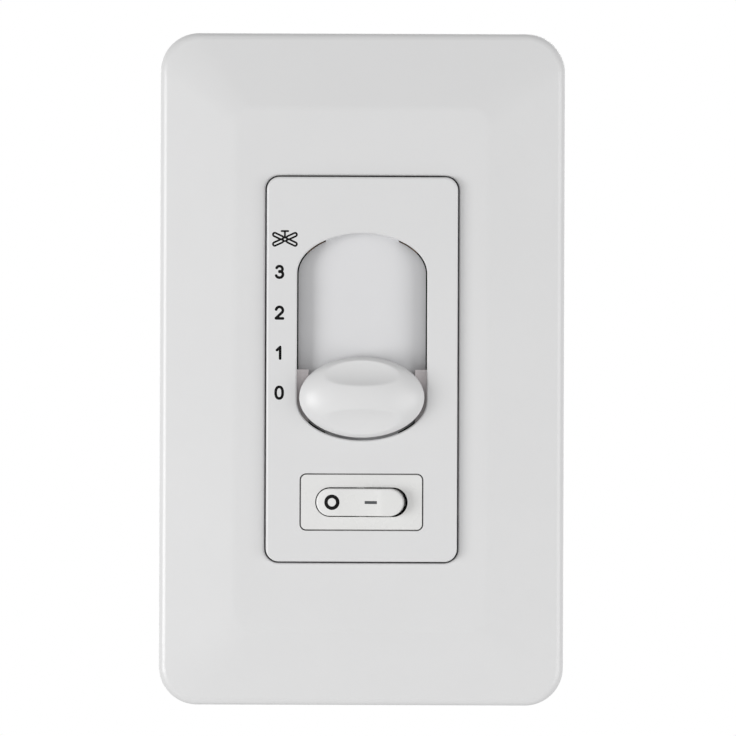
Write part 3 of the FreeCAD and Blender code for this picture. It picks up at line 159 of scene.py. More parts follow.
@dataclass(frozen=True)
class Finish:
    """A surface finish: two close tones that drift across it, fine grain, and uneven shine.

    Attributes:
        name: Name of the material.
        slot: Slot of the record that the finish stands for; not used.
        dark: Darker of the two tones, linear.
        light: Lighter of the two tones, linear.
        shine: Lowest and highest roughness.
        drift: Patches of tone for each metre.
        grain: Grains for each metre.
        grain_depth: Depth of the grain in metres.
        metallic: 1 for bare metal, 0 for everything else.
        specular: Strength of the plain reflection.
        stretch: Stretch of the pattern along x, y and z, for drawn or brushed metal.
    """

    name: str
    slot: str
    dark: Colour
    light: Colour
    shine: tuple[float, float]
    drift: float = 60.0
    grain: float = 2500.0
    grain_depth: float = 4e-6
    metallic: float = 0.0
    specular: float = 0.5
    stretch: Place = (1.0, 1.0, 1.0)

    def material(self) -> bpy.types.Material:
        """Builds the finish's material, or finds the one already built.

        Returns:
            A material on Object coordinates.
        """
        found = bpy.data.materials.get(self.name)
        if found:
            return found
        made = bpy.data.materials.new(self.name)
        made.use_nodes = True
        tree = made.node_tree
        shader = tree.nodes["Principled BSDF"]
        shader.inputs["Metallic"].default_value = self.metallic
        shader.inputs["Specular IOR Level"].default_value = self.specular
        place = tree.nodes.new("ShaderNodeTexCoord")
        mapping = tree.nodes.new("ShaderNodeMapping")
        mapping.inputs["Scale"].default_value = self.stretch
        tree.links.new(place.outputs["Object"], mapping.inputs["Vector"])
        self._tone(tree, mapping, shader)
        self._gloss(tree, mapping, shader)
        self._relief(tree, mapping, shader)
        return made

    @staticmethod
    def _noise(
        tree: bpy.types.NodeTree, source: bpy.types.Node, scale: float, detail: float
    ) -> bpy.types.Node:
        """Adds a noise pattern.

        Args:
            tree: Material's node tree.
            source: Node that gives the places.
            scale: Size of the pattern, in features for each metre.
            detail: Number of finer layers.

        Returns:
            The noise node.
        """
        noise = tree.nodes.new("ShaderNodeTexNoise")
        noise.inputs["Scale"].default_value = scale
        noise.inputs["Detail"].default_value = detail
        tree.links.new(source.outputs["Vector"], noise.inputs["Vector"])
        return noise

    def _tone(self, tree: bpy.types.NodeTree, source: bpy.types.Node, shader: bpy.types.Node) -> None:
        """Lets the colour drift between the two tones.

        Args:
            tree: Material's node tree.
            source: Node that gives the places.
            shader: Node that takes the result.
        """
        noise = self._noise(tree, source, self.drift, 3.0)
        ramp = tree.nodes.new("ShaderNodeValToRGB")
        ramp.color_ramp.elements[0].position = 0.35
        ramp.color_ramp.elements[0].color = (*self.dark, 1.0)
        ramp.color_ramp.elements[1].position = 0.65
        ramp.color_ramp.elements[1].color = (*self.light, 1.0)
        tree.links.new(noise.outputs["Fac"], ramp.inputs["Fac"])
        tree.links.new(ramp.outputs["Color"], shader.inputs["Base Color"])

    def _gloss(self, tree: bpy.types.NodeTree, source: bpy.types.Node, shader: bpy.types.Node) -> None:
        """Lets the roughness vary between its two limits.

        Args:
            tree: Material's node tree.
            source: Node that gives the places.
            shader: Node that takes the result.
        """
        noise = self._noise(tree, source, self.drift * 4.0, 4.0)
        spread = tree.nodes.new("ShaderNodeMapRange")
        spread.inputs["From Min"].default_value = 0.3
        spread.inputs["From Max"].default_value = 0.7
        spread.inputs["To Min"].default_value = self.shine[0]
        spread.inputs["To Max"].default_value = self.shine[1]
        tree.links.new(noise.outputs["Fac"], spread.inputs["Value"])
        tree.links.new(spread.outputs["Result"], shader.inputs["Roughness"])

    def _relief(self, tree: bpy.types.NodeTree, source: bpy.types.Node, shader: bpy.types.Node) -> None:
        """Gives the surface its fine moulded, rolled or drawn grain.

        Args:
            tree: Material's node tree.
            source: Node that gives the places.
            shader: Node that takes the result.
        """
        noise = self._noise(tree, source, self.grain, 2.0)
        bump = tree.nodes.new("ShaderNodeBump")
        bump.inputs["Strength"].default_value = 0.6
        bump.inputs["Distance"].default_value = self.grain_depth
        tree.links.new(noise.outputs["Fac"], bump.inputs["Height"])
        tree.links.new(bump.outputs["Normal"], shader.inputs["Normal"])

    def dress(self, piece: bpy.types.Object) -> None:
        """Gives a piece this finish in place of what it has."""
        piece.data.materials.clear()
        piece.data.materials.append(self.material())


PLATE_WHITE = Finish(
    "plate_satin_white", "plate_plastic", (0.686, 0.686, 0.688), (0.694, 0.694, 0.696), (0.30, 0.33)
)
PANEL_WHITE = Finish(
    "panel_satin_white", "panel_plastic", (0.684, 0.684, 0.687), (0.692, 0.692, 0.695), (0.32, 0.36)
)
TRACK_WHITE = Finish(
    "track_matt_white", "track_plastic", (0.678, 0.678, 0.688), (0.690, 0.690, 0.700), (0.40, 0.48)
)
KNOB_WHITE = Finish(
    "knob_polished_white", "knob_plastic", (0.688, 0.688, 0.690), (0.696, 0.696, 0.698), (0.37, 0.40),
    grain_depth=1e-6,
)
SADDLE_NYLON = Finish(
    "saddle_natural_nylon", "saddle_nylon", (0.86, 0.805, 0.812), (0.89, 0.835, 0.842), (0.42, 0.52)
)
ROCKER_IVORY = Finish(
    "rocker_warm_white", "rocker_ivory", (0.718, 0.717, 0.708), (0.730, 0.729, 0.720), (0.26, 0.30),
    grain_depth=2e-6,
)
SUB_PLATE_WHITE = Finish(
    "sub_plate_white", "sub_plate_plastic", (0.60, 0.60, 0.60), (0.64, 0.64, 0.64), (0.45, 0.55)
)
HOUSING_BLACK = Finish(
    "housing_grained_black", "housing_plastic", (0.018, 0.018, 0.019), (0.028, 0.028, 0.030), (0.48, 0.62),
    grain=1400.0, grain_depth=2.5e-5,
)
ZINC_SCREW = Finish(
    "screw_bright_zinc", "zinc_screw", (0.50, 0.50, 0.49), (0.62, 0.62, 0.61), (0.22, 0.34),
    metallic=1.0, drift=220.0,
)
GALVANISED = Finish(
    "yoke_galvanised_steel", "zinc_steel", (0.44, 0.45, 0.46), (0.58, 0.59, 0.60), (0.30, 0.46),
    metallic=1.0, drift=160.0, stretch=(1.0, 1.0, 0.25),
)
SPRING_STEEL = Finish(
    "spring_bright_steel", "spring_steel", (0.42, 0.42, 0.43), (0.52, 0.52, 0.53), (0.22, 0.34),
    metallic=1.0, drift=300.0,
)
CONTACT_BRASS = Finish(
    "contact_bright_brass", "contact_brass", (0.62, 0.44, 0.19), (0.74, 0.56, 0.28), (0.20, 0.32),
    metallic=1.0, drift=260.0,
)
COPPER_PAD = Finish(
    "pad_plated_copper", "copper_pad", (0.62, 0.36, 0.22), (0.72, 0.45, 0.30), (0.22, 0.34),
    metallic=1.0, drift=260.0,
)
BOARD_GREEN = Finish(
    "board_green_laminate", "board_laminate", (0.014, 0.034, 0.020), (0.022, 0.048, 0.030), (0.34, 0.46),
    grain=1800.0, grain_depth=1e-5, stretch=(1.0, 1.0, 3.0),
)
CAPACITOR_YELLOW = Finish(
    "capacitor_moulded_yellow", "capacitor_case", (0.52, 0.36, 0.040), (0.60, 0.43, 0.060), (0.28, 0.38)
)
RESISTOR_TAN = Finish(
    "resistor_lacquer", "resistor_coat", (0.36, 0.25, 0.13), (0.44, 0.32, 0.18), (0.25, 0.35)
)
GROMMET_BLACK = Finish(
    "grommet_black_rubber", "grommet_rubber", (0.012, 0.012, 0.012), (0.020, 0.020, 0.020), (0.60, 0.75),
    grain=1600.0, grain_depth=1.5e-5,
)
INK_BLACK = Finish(
    "mark_black_ink", "panel_plastic", (0.003, 0.003, 0.003), (0.006, 0.006, 0.006), (0.45, 0.60),
    specular=0.08,
)
INK_GREY = Finish(
    "mark_grey_ink", "rocker_ivory", (0.070, 0.074, 0.078), (0.095, 0.100, 0.105), (0.45, 0.60),
    specular=0.15,
)

NODE_FINISHES: dict[str, Finish] = {
    "wall_plate": PLATE_WHITE,
    "sub_plate": SUB_PLATE_WHITE,
    "plate_screws": ZINC_SCREW,
    "mounting_yoke": GALVANISED,
    "mounting_screws": ZINC_SCREW,
    "face_panel": PANEL_WHITE,
    "slide_track": TRACK_WHITE,
    "slide_knob": KNOB_WHITE,
    "slide_saddle": SADDLE_NYLON,
    "contact_carrier": SADDLE_NYLON,
    "detent_spring": SPRING_STEEL,
    "wiper_contact": CONTACT_BRASS,
    "contact_board": BOARD_GREEN,
    "contact_pads": COPPER_PAD,
    "low_speed_capacitor": CAPACITOR_YELLOW,
    "medium_speed_capacitor": CAPACITOR_YELLOW,
    "bleed_resistors": RESISTOR_TAN,
    "rocker_frame": ROCKER_IVORY,
    "rocker_button": ROCKER_IVORY,
    "rocker_plunger": SADDLE_NYLON,
    "rocker_spring": SPRING_STEEL,
    "contact_arm": CONTACT_BRASS,
    "middle_terminal": CONTACT_BRASS,
    "light_terminal": CONTACT_BRASS,
    "back_housing": HOUSING_BLACK,
    "housing_screws": ZINC_SCREW,
    "lead_grommet": GROMMET_BLACK,
}


# Sub-assemblies


@dataclass
class SlideKnob:
    """Oval domed cap of the slide, hollow below, with a scooped finger grip on each side of a ridge.

    Attributes:
        width: Length of the oval across the slot, in millimetres.
        height: Length of the oval along the slot.
        equator: Height at which the dome begins.
        crown: Rise of the dome.
        foot: Height of the lower rim.
        wall: Thickness of the shell.
        scoop_radius: Radius of the round cut that makes each scoop.
        scoop_depth: Depth of each scoop below the crown.
        ridge: Half width of the ridge between the scoops.
        softness: Difference in height over which a scoop runs into the dome.
        hollow: Share of the outer height that the hollow inside reaches.
        columns: Number of points in each ring.
    """

    width: float = 21.5
    height: float = 13.86
    equator: float = 8.2
    crown: float = 4.1
    foot: float = 5.75
    wall: float = 1.5
    scoop_radius: float = 6.0
    scoop_depth: float = 2.44
    ridge: float = 1.87
    softness: float = 0.16
    hollow: float = 0.72
    columns: int = 145

    def middle(self) -> float:
        """Reads the height of the knob's middle up the wall from its solid."""
        low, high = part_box("slide_knob")
        return (low[2] + high[2]) / 2 / MILLIMETRE

    def top(self, along: np.ndarray, dome: np.ndarray) -> np.ndarray:
        """Height of the outer surface: the dome, lowered to the scoops' round floors.

        A scoop's floor is the underside of a cylinder along x: its axis height less the
        square root of its radius squared less the distance from the axis squared.

        Args:
            along: Distance from the knob's middle along the slot.
            dome: Height of the plain dome there.

        Returns:
            Heights of the finished surface.
        """
        summit = self.equator + self.crown
        axis_z = summit - self.scoop_depth + self.scoop_radius
        reach = math.sqrt(self.scoop_radius ** 2 - (self.scoop_radius - self.scoop_depth) ** 2)
        offset = np.abs(along) - self.ridge - reach
        below = np.sqrt(np.clip(self.scoop_radius ** 2 - offset ** 2, 0.0, None))
        return smooth_lower(dome, axis_z - below, self.softness)

    def rings(self, reach: np.ndarray) -> tuple[np.ndarray, np.ndarray]:
        """Rings of the oval, each a share of the full size.

        Args:
            reach: Share of the full size for each ring.

        Returns:
            Places of the rings' points across and along the slot.
        """
        turn = np.linspace(0.0, 2 * math.pi, self.columns)
        across = np.outer(reach, np.cos(turn)) * self.width / 2
        return across, np.outer(reach, np.sin(turn)) * self.height / 2

    def surface(self) -> np.ndarray:
        """Closed shell as rings: over the dome, down the rim, under the foot, and up inside.

        Ring t and angle a give x = half width * reach(t) * cos(a) and y = half height *
        reach(t) * sin(a), where reach is the sine of the polar angle on the dome.

        Returns:
            Grid of drawing places in millimetres.
        """
        polar = np.linspace(0.0, math.pi / 2, 72)
        outer_x, outer_y = self.rings(np.sin(polar))
        dome = self.equator + self.crown * np.cos(polar)[:, None] + 0.0 * outer_x
        outer_z = self.top(outer_y, dome)
        rim_x, rim_y = self.rings(np.ones(6))
        rim_z = np.linspace(self.equator, self.foot, 7)[1:, None] + 0.0 * rim_x
        shrink = 1.0 - 2 * self.wall / self.height
        inner_x, inner_y = self.rings(np.sin(polar[::-1]) * shrink)
        inside = self.foot + (outer_z[::-1] - self.foot) * self.hollow
        inside[0] = self.foot
        x = np.concatenate([outer_x, rim_x, inner_x])
        y = np.concatenate([outer_y, rim_y, inner_y]) + self.middle()
        z = np.concatenate([outer_z, rim_z, inside])
        return np.stack([x, y, z], axis=-1)

    def build(self) -> bpy.types.Object:
        """Builds and dresses the knob in place of its solid.

        Returns:
            The knob.
        """
        knob = build_piece("slide_knob_cap", [self.surface()], crease=55.0)
        KNOB_WHITE.dress(knob)
        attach(knob, Body.SLIDER.value)
        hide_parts("slide_knob")
        return knob


@dataclass
class PanelMarks:
    """Printed speed numbers beside the slide and a plain fan sign above them.

    Attributes:
        across: Place of the numbers across the panel, in millimetres.
        heights: Places of the numbers 3, 2, 1 and 0 up the wall.
        cap: Height of a number.
        stroke: Width of a printed stroke.
        film: Thickness of the ink.
        sign: Place of the fan sign's hub, across and up.
        sign_stroke: Width of the sign's strokes.
        digit_half_width: Half width of a number's middle line.
        blade: Nearest and farthest end middle of a blade, from the hub, and its half width.
        blade_tilts: Directions of the blades in degrees.
        hub: Half width and half height of the hub.
        rod_top: Height of the drop rod's end above the hub.
        canopy: Height and half width of the ceiling canopy.
    """

    across: float = -14.2
    heights: tuple[float, float, float, float] = (16.7, 9.7, 2.8, -4.05)
    cap: float = 2.45
    stroke: float = 0.47
    film: float = 0.012
    sign: tuple[float, float] = (-13.3, 22.3)
    sign_stroke: float = 0.33
    digit_half_width: float = 0.60
    blade: tuple[float, float, float] = (0.64, 1.93, 0.30)
    blade_tilts: tuple[float, float, float, float] = (25.0, 155.0, 205.0, 335.0)
    hub: tuple[float, float] = (0.42, 0.30)
    rod_top: float = 1.30
    canopy: tuple[float, float] = (1.42, 0.55)

    def front(self) -> float:
        """Height of the panel's face, read from its solid."""
        return -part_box("face_panel")[0][1] / MILLIMETRE

    @staticmethod
    def arc(
        centre: tuple[float, float], radii: tuple[float, float], start: float, end: float
    ) -> np.ndarray:
        """Points along an arc of an ellipse.

        Args:
            centre: Middle of the ellipse.
            radii: Half width and half height.
            start: Angle of the first point, in degrees.
            end: Angle of the last point, in degrees.

        Returns:
            Points as rows of x and y.
        """
        angle = np.radians(np.linspace(start, end, 40))
        x = centre[0] + radii[0] * np.cos(angle)
        return np.stack([x, centre[1] + radii[1] * np.sin(angle)], axis=-1)

    @staticmethod
    def line(first: tuple[float, float], last: tuple[float, float]) -> np.ndarray:
        """Points along a straight line."""
        return np.linspace(first, last, 12)

    def ribbon(self, path: np.ndarray, width: float, ends: Ends) -> np.ndarray:
        """Flat bead of ink carried along a path.

        The section is the upper half of a flat ellipse. It runs square to the path, and at
        a round end its width shrinks as a half circle does.

        Args:
            path: Middle of the stroke, as rows of x and y.
            width: Width of the stroke.
            ends: How the stroke ends.

        Returns:
            Grid of drawing places in millimetres.
        """
        if ends is Ends.JOINED:
            ahead = np.roll(path[:-1], -1, axis=0) - np.roll(path[:-1], 1, axis=0)
            ahead = np.concatenate([ahead, ahead[:1]])
            scale = np.ones(len(path))
        else:
            ahead = np.gradient(path, axis=0)
            cap = 6
            quarter = np.linspace(0.0, math.pi / 2, cap + 1)[1:]
            unit = ahead / np.linalg.norm(ahead, axis=1, keepdims=True)
            tip = path[-1] + np.outer(np.sin(quarter), unit[-1]) * width / 2
            tail = path[0] - np.outer(np.sin(quarter), unit[0])[::-1] * width / 2
            path = np.concatenate([tail, path, tip])
            first, last = np.repeat(unit[:1], cap, axis=0), np.repeat(unit[-1:], cap, axis=0)
            ahead = np.concatenate([first, unit, last])
            scale = np.concatenate([np.cos(quarter)[::-1], np.ones(len(unit)), np.cos(quarter)])
        ahead = ahead / np.linalg.norm(ahead, axis=1, keepdims=True)
        square = np.stack([-ahead[:, 1], ahead[:, 0]], axis=-1)
        turn = np.linspace(0.0, 2 * math.pi, 13)
        side = np.outer(scale, np.cos(turn)) * width / 2
        lift = np.clip(np.sin(turn), 0.0, None)[None, :] * self.film + 0.0 * side
        x = path[:, :1] + square[:, :1] * side
        y = path[:, 1:] + square[:, 1:] * side
        return np.stack([x, y, lift + self.front()], axis=-1)

    def strokes(self, number: int) -> list[tuple[np.ndarray, Ends]]:
        """Middle lines of one number, about its own middle.

        Args:
            number: The number, from 0 to 3.

        Returns:
            Paths and how each of them ends.
        """
        tall = (self.cap - self.stroke) / 2
        wide = self.digit_half_width
        if number == 0:
            oval = self.arc((0.0, 0.0), (1.0, 1.0), 0.0, 360.0)
            round_off = np.sign(oval) * np.abs(oval) ** 0.85
            return [(round_off * (wide, tall), Ends.JOINED)]
        if number == 1:
            flag = self.line((-0.40, tall - 0.52), (0.12, tall - 0.04))
            return [(self.line((0.14, -tall), (0.14, tall)), Ends.ROUND), (flag, Ends.ROUND)]
        if number == 2:
            bowl = self.arc((0.0, tall - 0.58), (wide - 0.02, 0.58), 168.0, -38.0)
            slope = self.line(tuple(bowl[-1]), (-wide, -tall + 0.03))
            foot = self.line((-wide + 0.02, -tall), (wide, -tall))
            return [(np.concatenate([bowl, slope[1:]]), Ends.ROUND), (foot, Ends.ROUND)]
        upper = self.arc((-0.02, tall - 0.49), (wide - 0.08, 0.49), 158.0, -90.0)
        lower = self.arc((-0.02, -tall + 0.55), (wide, 0.55), 90.0, -160.0)
        return [(upper, Ends.ROUND), (lower, Ends.ROUND)]

    def numbers(self) -> list[np.ndarray]:
        """Inked surfaces of all the numbers, the highest speed on top.

        Returns:
            Grids of drawing places in millimetres.
        """
        surfaces = []
        for number, height in zip((3, 2, 1, 0), self.heights):
            for path, ends in self.strokes(number):
                surfaces.append(self.ribbon(path + (self.across, height), self.stroke, ends))
        return surfaces

    def fan_sign(self) -> list[np.ndarray]:
        """Inked surfaces of the fan sign: four blades seen from the side, a hub and its drop rod.

        Each blade is the outline of a bar with round ends that points out from the hub.

        Returns:
            Grids of drawing places in millimetres.
        """
        hub = np.array(self.sign)
        near, far, half = self.blade
        high, reach = self.canopy
        end = self.arc((0.0, 0.0), (half, half), -90.0, 90.0)
        bar = np.concatenate([end + (far, 0.0), -end + (near, 0.0), end[:1] + (far, 0.0)])
        surfaces = []
        for tilt in self.blade_tilts:
            out = np.array([math.cos(math.radians(tilt)), math.sin(math.radians(tilt))])
            across = np.array([-out[1], out[0]])
            path = hub + bar[:, :1] * out + bar[:, 1:] * across
            surfaces.append(self.ribbon(path, self.sign_stroke, Ends.JOINED))
        boss = hub + self.arc((0.0, 0.0), self.hub, 0.0, 360.0)
        rod = hub + self.line((0.0, self.hub[1]), (0.0, self.rod_top))
        canopy = hub + self.line((-reach, high), (reach, high))
        surfaces.append(self.ribbon(boss, self.sign_stroke, Ends.JOINED))
        surfaces.append(self.ribbon(rod, self.sign_stroke, Ends.ROUND))
        surfaces.append(self.ribbon(canopy, self.sign_stroke, Ends.ROUND))
        return surfaces

    def build(self) -> list[bpy.types.Object]:
        """Builds and inks the numbers and the sign.

        Returns:
            The printed pieces.
        """
        prints = [build_piece("speed_numbers", self.numbers()), build_piece("fan_sign", self.fan_sign())]
        for mark in prints:
            INK_BLACK.dress(mark)
            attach(mark, Body.BASE.value)
        return prints


@dataclass
class RockerButton:
    """Rocker for the light: a bar with round ends, a hollowed top, pivot pins and a plunger stem.

    Attributes:
        length: Length of the bar in millimetres.
        width: Width of the bar.
        front: Height of the switch's front frame.
        edge: Height of the bar's ends above the frame.
        crest_place: Distance of each crest from the middle.
        crest_rise: Height of a crest above the ends.
        valley_drop: Depth of the valley below the crests.
        crest_blend: Difference in height over which a crest is rounded.
        rim: Radius of the rounded rim.
        skirt: Height of the bar's underside.
        pivot: Place of the pivot up the wall and out of it.
        tilt: Angle at which the bar rests, in degrees.
        ring: Place and outer and inner radius of the off mark.
        dash: Place, length and width of the on mark.
        film: Height of the ink's top and underside above the crown.
        pin: Radius, half length and end chamfer of the pivot pins.
        stem_sizes: Radius, length, bore radius and bore depth of the stem.
    """

    length: float = 15.0
    width: float = 4.7
    front: float = 7.64
    edge: float = 1.0
    crest_place: float = 4.0
    crest_rise: float = 0.45
    valley_drop: float = 0.40
    crest_blend: float = 0.12
    rim: float = 0.26
    skirt: float = 3.44
    pivot: tuple[float, float] = (-22.825, 5.64)
    tilt: float = -7.0
    ring: tuple[float, float, float] = (-4.70, 1.32, 0.72)
    dash: tuple[float, float, float] = (2.01, 2.13, 0.50)
    film: tuple[float, float] = (0.014, 0.004)
    pin: tuple[float, float, float] = (0.8, 3.45, 0.15)
    stem_sizes: tuple[float, float, float, float] = (1.6, 4.0, 0.9, 3.2)

    def crown(self, x: np.ndarray) -> np.ndarray:
        """Height of the top along the bar: a shallow round valley between two falling shoulders.

        The valley is a circle through both crests and its own lowest point. Each shoulder
        falls from its crest as the square of the distance towards the end.

        Args:
            x: Distances from the middle of the bar.

        Returns:
            Heights of the top.
        """
        crest = self.front + self.edge + self.crest_rise
        radius = (self.crest_place ** 2 + self.valley_drop ** 2) / (2 * self.valley_drop)
        valley = crest - self.valley_drop + radius - np.sqrt(np.clip(radius ** 2 - x ** 2, 0.0, None))
        run = (np.abs(x) - self.crest_place) / (self.length / 2 - self.crest_place)
        slope = np.where(run < 0.0, -0.35 * run, -self.crest_rise * (0.45 * run + 0.55 * run * run))
        return smooth_lower(valley, crest + slope, self.crest_blend)

    def outline(self, inset: np.ndarray) -> tuple[np.ndarray, np.ndarray]:
        """Rings of the bar's plan, each taken in from the outer edge by its own inset.

        Args:
            inset: Distance of each ring from the outer edge.

        Returns:
            Places of the rings' points along and across the bar.
        """
        straight = (self.length - self.width) / 2
        arc = np.linspace(-math.pi / 2, math.pi / 2, 33)
        side = np.linspace(straight, -straight, 49)[1:-1]
        zero = np.zeros_like(side)
        middle = np.concatenate([np.full(33, straight), side, np.full(33, -straight), side[::-1], [straight]])
        reach_x = np.concatenate([np.cos(arc), zero, -np.cos(arc), zero, [0.0]])
        reach_y = np.concatenate([np.sin(arc), zero + 1.0, -np.sin(arc), zero - 1.0, [-1.0]])
        radius = (self.width / 2 - inset)[:, None]
        return middle + radius * reach_x, radius * reach_y

    def bar(self) -> np.ndarray:
        """Closed surface of the bar: in rings over its top, down its sides, and under it.

        A ring's height is the crown's, less what a quarter circle falls within the rim.

        Returns:
            Grid of drawing places before the tilt, about the pivot.
        """
        bend = np.linspace(0, math.pi / 2, 9)
        over = np.concatenate([np.linspace(self.width / 2, self.rim, 24), self.rim * (1 - np.sin(bend))[1:]])
        down = np.zeros(6)
        under = np.linspace(0.0, self.width / 2, 8)
        x, y = self.outline(np.concatenate([over, down, under]))
        fall = np.clip(self.rim - over, 0.0, None)
        drop = self.rim - np.sqrt(np.clip(self.rim ** 2 - fall ** 2, 0.0, None))
        top = self.crown(x[: len(over)]) - drop[:, None]
        share = np.linspace(0.0, 1.0, 7)[1:, None]
        sides = top[-1] * (1 - share) + self.skirt * share
        bottom = np.full((len(under), x.shape[1]), self.skirt)
        return np.stack([x, y, np.concatenate([top, sides, bottom])], axis=-1)

    @staticmethod
    def turned(profile: Sequence[tuple[float, float]]) -> np.ndarray:
        """Round piece from a profile, turned about z.

        Args:
            profile: Radius and height of each ring.

        Returns:
            Grid of places in millimetres.
        """
        radius, height = np.array(profile).T
        turn = np.linspace(0.0, 2 * math.pi, 37)
        return np.stack([
            np.outer(radius, np.cos(turn)), np.outer(radius, np.sin(turn)), np.outer(height, np.ones(37))
        ], axis=-1)

    def tipped(self, surface: np.ndarray) -> np.ndarray:
        """Moves a surface from the bar's own frame, where y = 0 is its middle, to its resting place.

        Args:
            surface: Places in millimetres in the bar's own frame.

        Returns:
            Places turned about the pivot line and moved to the rocker's height on the wall.
        """
        turn = math.radians(self.tilt)
        x, y, z = surface[..., 0], surface[..., 1], surface[..., 2] - self.pivot[1]
        return np.stack([
            x * math.cos(turn) + z * math.sin(turn),
            y + self.pivot[0],
            z * math.cos(turn) - x * math.sin(turn) + self.pivot[1],
        ], axis=-1)

    def pins(self) -> np.ndarray:
        """Pivot pins: one rod across the bar, with chamfered ends.

        Returns:
            Grid of places in the bar's own frame.
        """
        radius, end, chamfer = self.pin
        tip, full = radius - chamfer, end - chamfer
        rod = self.turned([(0.0, -end), (tip, -end), (radius, -full), (radius, full), (tip, end), (0.0, end)])
        return np.stack([rod[..., 1], rod[..., 2], rod[..., 0] + self.pivot[1]], axis=-1)

    def stem(self) -> np.ndarray:
        """Stem below the bar, bored for the plunger and its spring, with its end's edges eased.

        Returns:
            Grid of places in the bar's own frame.
        """
        radius, length, bore, deep = self.stem_sizes
        end, ease = self.pivot[1] - length, 0.1
        return self.turned([
            (0.0, end + deep), (bore, end + deep), (bore, end + ease), (bore + ease, end), (radius - ease, end),
            (radius, end + ease), (radius, self.pivot[1]), (0.0, self.pivot[1]),
        ])

    def ring_mark(self) -> np.ndarray:
        """Printed ring on the pressed end, laid on the crown: radius and angle give x and y.

        Returns:
            Grid of places in the bar's own frame.
        """
        place, outer, inner = self.ring
        radius = np.concatenate([np.linspace(inner, outer, 9), np.linspace(outer, inner, 9), [inner]])
        turn = np.linspace(0.0, 2 * math.pi, 73)
        x = place + np.outer(radius, np.cos(turn))
        y = np.outer(radius, np.sin(turn))
        high, low = self.film
        film = np.concatenate([np.full(9, high), np.full(9, low), [high]])[:, None]
        return np.stack([x, y, self.crown(x) + film], axis=-1)

    def dash_mark(self) -> np.ndarray:
        """Printed dash on the raised end, laid on the crown: a loop round a thin bar at each x.

        Returns:
            Grid of places in the bar's own frame.
        """
        place, length, width = self.dash
        x = place + np.linspace(-length / 2, length / 2, 25)[:, None] * np.ones(7)
        loop_y = np.array([-1.0, 0.0, 1.0, 1.0, 0.0, -1.0, -1.0]) * width / 2
        high, low = self.film
        loop_z = np.array([high, high, high, low, low, low, high])
        y = loop_y[None, :] + 0.0 * x
        z = self.crown(x) + loop_z[None, :]
        body = np.stack([x, y, z], axis=-1)
        first, last = body[:1].copy(), body[-1:].copy()
        first[..., 1:] = first[..., 1:].mean(axis=1, keepdims=True)
        last[..., 1:] = last[..., 1:].mean(axis=1, keepdims=True)
        return np.concatenate([first, body, last])

    def build(self) -> list[bpy.types.Object]:
        """Builds and dresses the rocker in place of its solid, and prints its marks.

        Returns:
            The rocker and its two marks.
        """
        solids = (self.bar(), self.pins(), self.stem())
        button = build_piece("rocker_bar", [self.tipped(solid) for solid in solids])
        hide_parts("rocker_button")
        ring = build_piece("rocker_off_ring", [self.tipped(self.ring_mark())])
        dash = build_piece("rocker_on_dash", [self.tipped(self.dash_mark())])
        for piece, finish in ((button, ROCKER_IVORY), (ring, INK_BLACK), (dash, INK_GREY)):
            finish.dress(piece)
            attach(piece, Body.ROCKER.value)
        return [button, ring, dash]


